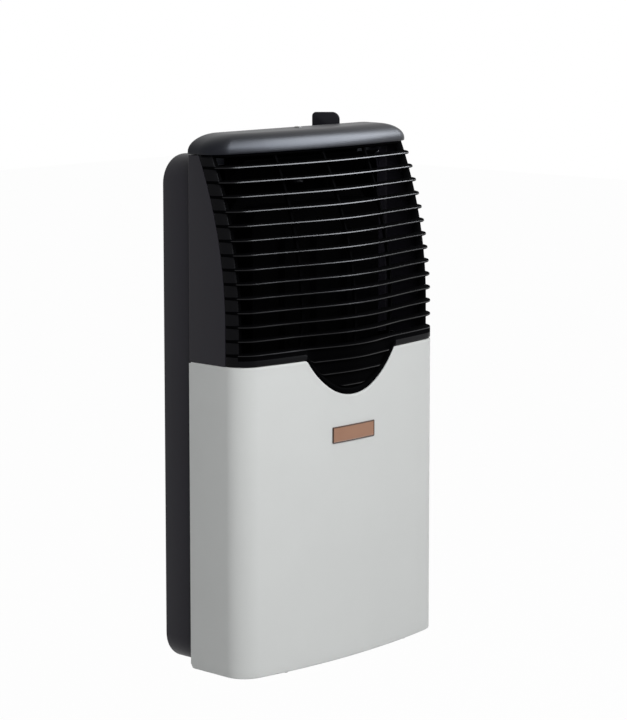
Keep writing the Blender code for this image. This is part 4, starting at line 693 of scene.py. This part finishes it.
def build_side_panel(side):
    seam_y = plan_point(QUARTER)[0].y
    high = CAP_LIP_HEIGHT - PANEL_TOP_GAP
    rings = []
    for z in [COVER_HEIGHT] + [mix(BROW_START, high, k / PANEL_STEPS) for k in range(PANEL_STEPS + 1)]:
        front = seam_y + brow(z) + PANEL_SEAM
        plan = [(HALF_WIDTH - PANEL_EDGE, front), (HALF_WIDTH, front + PANEL_EDGE)]
        for turn in (0, 22.5, 45, 67.5, 90):
            turn = math.radians(turn)
            plan.append((HALF_WIDTH - PANEL_ROUND * (1 - math.cos(turn)),
                         -CABINET_REAR - PANEL_ROUND * (1 - math.sin(turn))))
        plan += [(HALF_WIDTH - REAR_FLANGE, -CABINET_REAR),
                 (HALF_WIDTH - REAR_FLANGE, -CABINET_REAR - SHEET),
                 (HALF_WIDTH - PANEL_FOLD, -CABINET_REAR - SHEET),
                 (HALF_WIDTH - SHEET, -CABINET_REAR - PANEL_FOLD),
                 (HALF_WIDTH - SHEET, front)]
        rings.append([Vector((side * x, y, z)) for x, y in (plan if side > 0 else reversed(plan))])
    return loft(rings)


for side, word in ((-1, "left"), (1, "right")):
    show("side_panel_" + word + "_visual", build_side_panel(side), "charcoal_paint", "heater",
         "side_panel_" + word, sharp=35)


# Rear casing: deep-drawn pan with soft edges, and its holes

CASING_HALF_WIDTH = 0.1595
CASING_HEIGHT = 0.579
CASING_CORNER = 0.032
CASING_DEPTH = 0.0469
CASING_SHEET = 0.0012
CASING_FLANGE = 0.010
BACK_ROUND, BACK_TURNS = 0.0025, (0, 30, 60, 90)
FRONT_ROUND, FRONT_TURNS = 0.0015, (0, 45, 90)
INNER_ROUND = 0.0015
FLUE_HEIGHT, FLUE_HOLE = 0.420, 0.0503
WALL_HOLE, WALL_HOLE_X, WALL_HOLE_HEIGHTS = 0.0040, 0.110, (0.036, 0.543)
ROD_HOLE, IGNITER_HOLE = 0.0052, 0.0073
GAS_OPENING = [(0.046, -0.0402), (0.080, -0.0402), (0.080, -0.0062), (0.046, -0.0062)]
CUTTER_REACH = 0.004
BACK_PANEL = 0.010  # inner faces closer to the wall than this belong to the pan's bottom


def casing_ring(inset, depth):
    half, radius = CASING_HALF_WIDTH - inset, CASING_CORNER - inset
    low, high = inset + radius, CASING_HEIGHT - inset - radius
    ring = []
    for cx, cz, start in ((half - radius, low, -90), (half - radius, high, 0),
                          (-half + radius, high, 90), (-half + radius, low, 180)):
        for k in range(13):
            turn = math.radians(start + 7.5 * k)
            ring.append(Vector((cx + radius * math.cos(turn), -depth, cz + radius * math.sin(turn))))
    return ring


def build_casing():
    rings = []
    for turn in map(math.radians, BACK_TURNS):
        rings.append(casing_ring(BACK_ROUND * (1 - math.sin(turn)), BACK_ROUND * (1 - math.cos(turn))))
    for turn in map(math.radians, FRONT_TURNS):
        rings.append(casing_ring(FRONT_ROUND * (1 - math.cos(turn)),
                                 CASING_DEPTH - FRONT_ROUND * (1 - math.sin(turn))))
    for inset, depth in ((CASING_FLANGE, CASING_DEPTH),
                         (CASING_FLANGE, CASING_DEPTH - CASING_SHEET),
                         (CASING_SHEET + INNER_ROUND, CASING_DEPTH - CASING_SHEET),
                         (CASING_SHEET, CASING_DEPTH - CASING_SHEET - INNER_ROUND),
                         (CASING_SHEET, CASING_SHEET + INNER_ROUND),
                         (CASING_SHEET + INNER_ROUND, CASING_SHEET)):
        rings.append(casing_ring(inset, depth))
    return loft(rings)


def cut(target, name, points, faces):
    """Take a shape out of a piece for good."""
    tool = bpy.data.objects.new(name, lowered_mesh(name, points, faces))
    bpy.context.scene.collection.objects.link(tool)
    modifier = target.modifiers.new(name, "BOOLEAN")
    modifier.operation = "DIFFERENCE"
    modifier.solver = "EXACT"
    modifier.object = tool
    bpy.context.view_layer.update()
    evaluated = target.evaluated_get(bpy.context.evaluated_depsgraph_get())
    made = bpy.data.meshes.new_from_object(evaluated)
    target.modifiers.clear()
    target.data = made
    bpy.data.objects.remove(tool)


def pin(radius):
    """Profile of a round cutter through a sheet."""
    return [(0.0, -CUTTER_REACH), (radius, -CUTTER_REACH), (radius, CUTTER_REACH), (0.0, CUTTER_REACH)]


casing = show("casing_visual", build_casing(), "charcoal_paint", "heater", "rear_casing", sharp=35)
cut(casing, "flue_hole", *turned(pin(FLUE_HOLE), (0, 0, FLUE_HEIGHT), "Y", 64))
for x in (-WALL_HOLE_X, WALL_HOLE_X):
    for z in WALL_HOLE_HEIGHTS:
        cut(casing, "wall_hole", *turned(pin(WALL_HOLE), (x, 0, z), "Y", 24))
for x, radius in ((KNOB_X, ROD_HOLE), (IGNITER_X, IGNITER_HOLE)):
    cut(casing, "control_hole", *turned(pin(radius), (x, -CONTROL_DEPTH, CASING_HEIGHT), "Z", 24))
cut(casing, "gas_opening", *loft([[Vector((x, y, z)) for x, y in GAS_OPENING]
                                  for z in (-CUTTER_REACH, CUTTER_REACH)]))
soften(casing.data, 35)
# The pan's inside faces and its bottom get near black: painted shade
casing.data.materials.append(painted_shade_black)
for face in casing.data.polygons:
    outward = face.center.x * face.normal.x + face.center.z * face.normal.z
    if outward < -0.01 or (face.normal.y < -0.5 and face.center.y > -BACK_PANEL):
        face.material_index = 1


# Blank plate: raised dark rim and soft corners on a bowed surface

PLATE_HALF, PLATE_LOW, PLATE_HIGH = 0.0350, 0.2523, 0.2711
PLATE_XS = [0.0, 0.008, 0.016, 0.024, 0.031]
PLATE_END_ROWS = (0.0016, 0.0010, 0.0004)
PLATE_CORNER = 0.0012  # also the width of the rim
PLATE_FIELD = 0.0016  # from the edge to the field inside the rim
PLATE_EDGE = 0.0003
RIM_STAND, EDGE_STAND, FIELD_STAND, BACK_STAND = 0.0014, 0.0011, 0.0010, 0.0002
FIELD_ROW = 3


def build_plate():
    outer, inner = [], []
    xs = mirrored(PLATE_XS + [PLATE_HALF - row for row in PLATE_END_ROWS] + [PLATE_HALF])
    for x in xs:
        point, normal = plan_point(angle_at(x))
        from_end = PLATE_HALF - abs(x)
        trim = PLATE_CORNER * (1 - math.sqrt(1 - (1 - clamp01(from_end / PLATE_CORNER)) ** 2))
        rim = RIM_STAND if from_end > PLATE_EDGE else EDGE_STAND
        field = FIELD_STAND if from_end > PLATE_CORNER else rim
        rows = [(PLATE_LOW + trim, EDGE_STAND), (PLATE_LOW + trim + PLATE_EDGE, rim),
                (PLATE_LOW + PLATE_CORNER, rim), (PLATE_LOW + PLATE_FIELD, field),
                (PLATE_HIGH - PLATE_FIELD, field), (PLATE_HIGH - PLATE_CORNER, rim),
                (PLATE_HIGH - trim - PLATE_EDGE, rim), (PLATE_HIGH - trim, EDGE_STAND)]
        outer.append([point + normal * stand + Vector((0, 0, z)) for z, stand in rows])
        inner.append([point + normal * BACK_STAND + Vector((0, 0, z)) for z, stand in rows])
    field_columns = range(len(PLATE_END_ROWS), len(xs) - 1 - len(PLATE_END_ROWS))
    return shell(outer, inner, lambda i, j: 0 if j == FIELD_ROW and i in field_columns else 1)


show("plate_visual", build_plate(), "plate_copper", "heater", "nameplate", sharp=30,
     coats=(plate_rim, plate_rim))


# Knob: turned skirt with a grip blade across it

KNOB_LOW = 0.5842
KNOB_CENTRE = (KNOB_X, -CONTROL_DEPTH, 0.0)
# Skirt as radius and height above its lower edge
KNOB_SKIRT = [(0.0, 0.0), (0.0187, 0.0), (0.0193, 0.0004), (0.0195, 0.0012), (0.0187, 0.0080),
              (0.0179, 0.0098), (0.0160, 0.0108), (0.0, 0.0110)]
BLADE_HALF_LENGTH, HALF_BLADE = 0.0163, 0.0025
BLADE_LOW, BLADE_TOP = KNOB_LOW + 0.0096, 0.6165
BLADE_TURN = 43  # degrees from straight out, as photographed
POINTER_ROUND, HEEL_ROUND = 0.0048, 0.0088
# Edge rounding of the blade's sides: distance in from the side, and setback of the outline
BLADE_EDGE = [(0.0, 0.0012), (0.0003, 0.0004), (0.0010, 0.0)]

skirt = [(radius, KNOB_LOW + rise) for radius, rise in KNOB_SKIRT]
show("knob_visual", turned(skirt, KNOB_CENTRE, "Z", 64), "control_black", "knob", "control_knob", sharp=50)


def build_blade():
    """Grip blade; at rest its pointer end stands off to the right of straight out."""
    outline = [(BLADE_HALF_LENGTH, BLADE_LOW)]
    for side, radius, start in ((1, POINTER_ROUND, 0), (-1, HEEL_ROUND, 90)):
        centre = side * (BLADE_HALF_LENGTH - radius)
        for k in range(9):
            turn = math.radians(start + 90 * k / 8)
            outline.append((centre + radius * math.cos(turn), BLADE_TOP - radius + radius * math.sin(turn)))
    outline.append((-BLADE_HALF_LENGTH, BLADE_LOW))
    sides = [(-HALF_BLADE + step, soft) for step, soft in BLADE_EDGE]
    sides += [(HALF_BLADE - step, soft) for step, soft in reversed(BLADE_EDGE)]
    middle = (BLADE_LOW + BLADE_TOP) / 2
    across = Matrix.Rotation(math.radians(BLADE_TURN), 3, "Z")
    rings = []
    for x, soft in sides:
        ring = []
        for y, z in outline:
            height = z if z <= BLADE_LOW else middle + (z - middle) * (1 - soft / (BLADE_TOP - middle))
            corner = Vector((x, y * (1 - soft / BLADE_HALF_LENGTH), height))
            ring.append(Vector(KNOB_CENTRE) + across @ corner)
        rings.append(ring)
    return flipped(*loft(rings))


show("knob_blade", build_blade(), "control_black", "knob", sharp=35)


# Screw on the cap: cross-recess head

SCREW_Y = -0.0582
SCREW_HEAD = [(0.0, 0.6045), (0.0040, 0.6045), (0.0040, 0.6050), (0.0036, 0.6054), (0.0028, 0.6056),
              (0.0, 0.6056)]
RECESS_HALF_LENGTH, RECESS_HALF_WIDTH = 0.0023, 0.0004
RECESS_HEIGHTS = (0.6049, 0.6062)

head = show("cap_screw_visual", turned(SCREW_HEAD, (0.0, SCREW_Y, 0.0), "Z", 32), "zinc_steel", "heater",
            "cap_screw")
for turn in (0, 90):
    across = Matrix.Rotation(math.radians(turn), 3, "Z")
    corners = [across @ Vector((RECESS_HALF_LENGTH * x, RECESS_HALF_WIDTH * y, 0))
               for x, y in ((-1, -1), (1, -1), (1, 1), (-1, 1))]
    cut(head, "recess", *loft([[corner + Vector((0, SCREW_Y, z)) for corner in corners]
                               for z in RECESS_HEIGHTS]))


# Smooth the CAD pieces that stay in view

for name, node in nodes.items():
    if not node.hide_render:
        soften(node.data, 32)


# Studio: pale floor well below the heater, white surround, soft lamps

FLOOR_DROP = 0.42
FLOOR_REACH = 9.0
FLOOR_COLOUR = (0.80, 0.80, 0.80, 1.0)
FLOOR_ROUGHNESS = 0.9
FLOOR_KEPT = 0.02  # share of its own shading and shadow that the floor keeps in view
AMBIENT_COLOUR, AMBIENT = (0.98, 0.99, 1.0, 1), 0.09


def seen_or_mirrored(tree, ray):
    """1 for what the camera sees straight, in a reflection or through glass."""
    socket = ray.outputs["Is Camera Ray"]
    for kind in ("Is Glossy Ray", "Is Transmission Ray"):
        either = tree.nodes.new("ShaderNodeMath")
        either.operation = "MAXIMUM"
        tree.links.new(socket, either.inputs[0])
        tree.links.new(ray.outputs[kind], either.inputs[1])
        socket = either.outputs[0]
    return socket


def floor_paint():
    """Matt paint that the camera sees as nearly plain white, with a little of its shading and shadow."""
    material = bpy.data.materials.new("floor_paint")
    material.use_nodes = True
    tree = material.node_tree
    shader = tree.nodes["Principled BSDF"]
    shader.inputs["Base Color"].default_value = FLOOR_COLOUR
    shader.inputs["Roughness"].default_value = FLOOR_ROUGHNESS
    glow = tree.nodes.new("ShaderNodeEmission")
    glow.inputs["Strength"].default_value = 1.0
    blend = tree.nodes.new("ShaderNodeMixShader")
    ray = tree.nodes.new("ShaderNodeLightPath")
    share = tree.nodes.new("ShaderNodeMath")
    share.operation = "MULTIPLY"
    share.inputs[1].default_value = 1 - FLOOR_KEPT
    tree.links.new(seen_or_mirrored(tree, ray), share.inputs[0])
    tree.links.new(share.outputs[0], blend.inputs["Fac"])
    tree.links.new(shader.outputs[0], blend.inputs[1])
    tree.links.new(glow.outputs[0], blend.inputs[2])
    tree.links.new(blend.outputs[0], tree.nodes["Material Output"].inputs["Surface"])
    return material


floor_mesh = bpy.data.meshes.new("floor")
floor_mesh.from_pydata([(x * FLOOR_REACH, y * FLOOR_REACH, -ORIGIN_HEIGHT - FLOOR_DROP)
                        for x, y in ((-1, -1), (1, -1), (1, 1), (-1, 1))], [], [(0, 1, 2, 3)])
floor_mesh.materials.append(floor_paint())
floor = bpy.data.objects.new("floor", floor_mesh)
bpy.context.scene.collection.objects.link(floor)

world = bpy.data.worlds.new("studio")
bpy.context.scene.world = world
world.use_nodes = True
tree = world.node_tree
tree.nodes.clear()
out = tree.nodes.new("ShaderNodeOutputWorld")
seen = tree.nodes.new("ShaderNodeBackground")
seen.inputs["Color"].default_value = (1, 1, 1, 1)
seen.inputs["Strength"].default_value = 1.0
lit = tree.nodes.new("ShaderNodeBackground")
lit.inputs["Color"].default_value = AMBIENT_COLOUR
lit.inputs["Strength"].default_value = AMBIENT
choose = tree.nodes.new("ShaderNodeMixShader")
ray = tree.nodes.new("ShaderNodeLightPath")
tree.links.new(seen_or_mirrored(tree, ray), choose.inputs["Fac"])
tree.links.new(lit.outputs[0], choose.inputs[1])
tree.links.new(seen.outputs[0], choose.inputs[2])
tree.links.new(choose.outputs[0], out.inputs["Surface"])

LAMP_DISTANCE = 1.9
LAMP_AIM = (0, -0.1, 0.1)


def lamp(name, azimuth, height, size, power, colour=(1, 1, 1), tilt=0.0):
    """Area lamp aimed at the heater; azimuth turns from straight in front towards the heater's right."""
    data = bpy.data.lights.new(name, "AREA")
    data.shape = "RECTANGLE"
    data.size, data.size_y = size
    data.energy = power
    data.color = colour
    light = bpy.data.objects.new(name, data)
    a, h = math.radians(azimuth), math.radians(height)
    place = (LAMP_DISTANCE * math.sin(a) * math.cos(h),
             LAMP_AIM[1] - LAMP_DISTANCE * math.cos(a) * math.cos(h),
             LAMP_AIM[2] + LAMP_DISTANCE * math.sin(h))
    light.location = place
    light.rotation_mode = "QUATERNION"
    tilted = Matrix.Rotation(math.radians(tilt), 3, "Z").to_quaternion()
    light.rotation_quaternion = (Vector(LAMP_AIM) - Vector(place)).to_track_quat("-Z", "Y") @ tilted
    bpy.context.scene.collection.objects.link(light)
    return light


# The key and the fill give no reflections, and the gloss lamp gives nothing else
key = lamp("key", 53, 28, (0.95, 0.60), 13.0)
key.visible_glossy = False
fill = lamp("fill", -32, 26, (1.1, 1.1), 28.0)
fill.visible_glossy = False
gloss = lamp("gloss", 50, 31, (1.70, 1.20), 136.0, (0.90, 0.94, 1.0), tilt=24)
gloss.visible_diffuse = False


# Camera at the photograph's angle, solved from the edges in the photograph

PHOTO_HEIGHT = 720.0
FOCAL_PIXELS = 2599.843
SHIFT_PIXELS = -85.0
SENSOR_WIDTH = 36.0
TURN, PITCH, ROLL = math.radians(-46.8668), math.radians(7.2028), math.radians(-0.0273)
TARGET = Vector((0.0, -0.1, 0.3 - ORIGIN_HEIGHT))
DISTANCE, OFF_RIGHT, OFF_UP = 2.98624, 0.01268, 0.13638

back = Vector((math.sin(TURN) * math.cos(PITCH), -math.cos(TURN) * math.cos(PITCH), math.sin(PITCH)))
level = Vector((math.cos(TURN), math.sin(TURN), 0.0))
upright = back.cross(level)
right = math.cos(ROLL) * level + math.sin(ROLL) * upright
up = -math.sin(ROLL) * level + math.cos(ROLL) * upright
data = bpy.data.cameras.new("camera")
data.sensor_width = SENSOR_WIDTH
data.lens = FOCAL_PIXELS * SENSOR_WIDTH / PHOTO_HEIGHT
data.shift_y = SHIFT_PIXELS / PHOTO_HEIGHT
camera = bpy.data.objects.new("camera", data)
camera.matrix_world = Matrix((right, up, back)).transposed().to_4x4()
camera.location = TARGET + back * DISTANCE - right * OFF_RIGHT + up * OFF_UP
bpy.context.scene.collection.objects.link(camera)
bpy.context.scene.camera = camera
bpy.context.scene.view_settings.view_transform = "Standard"
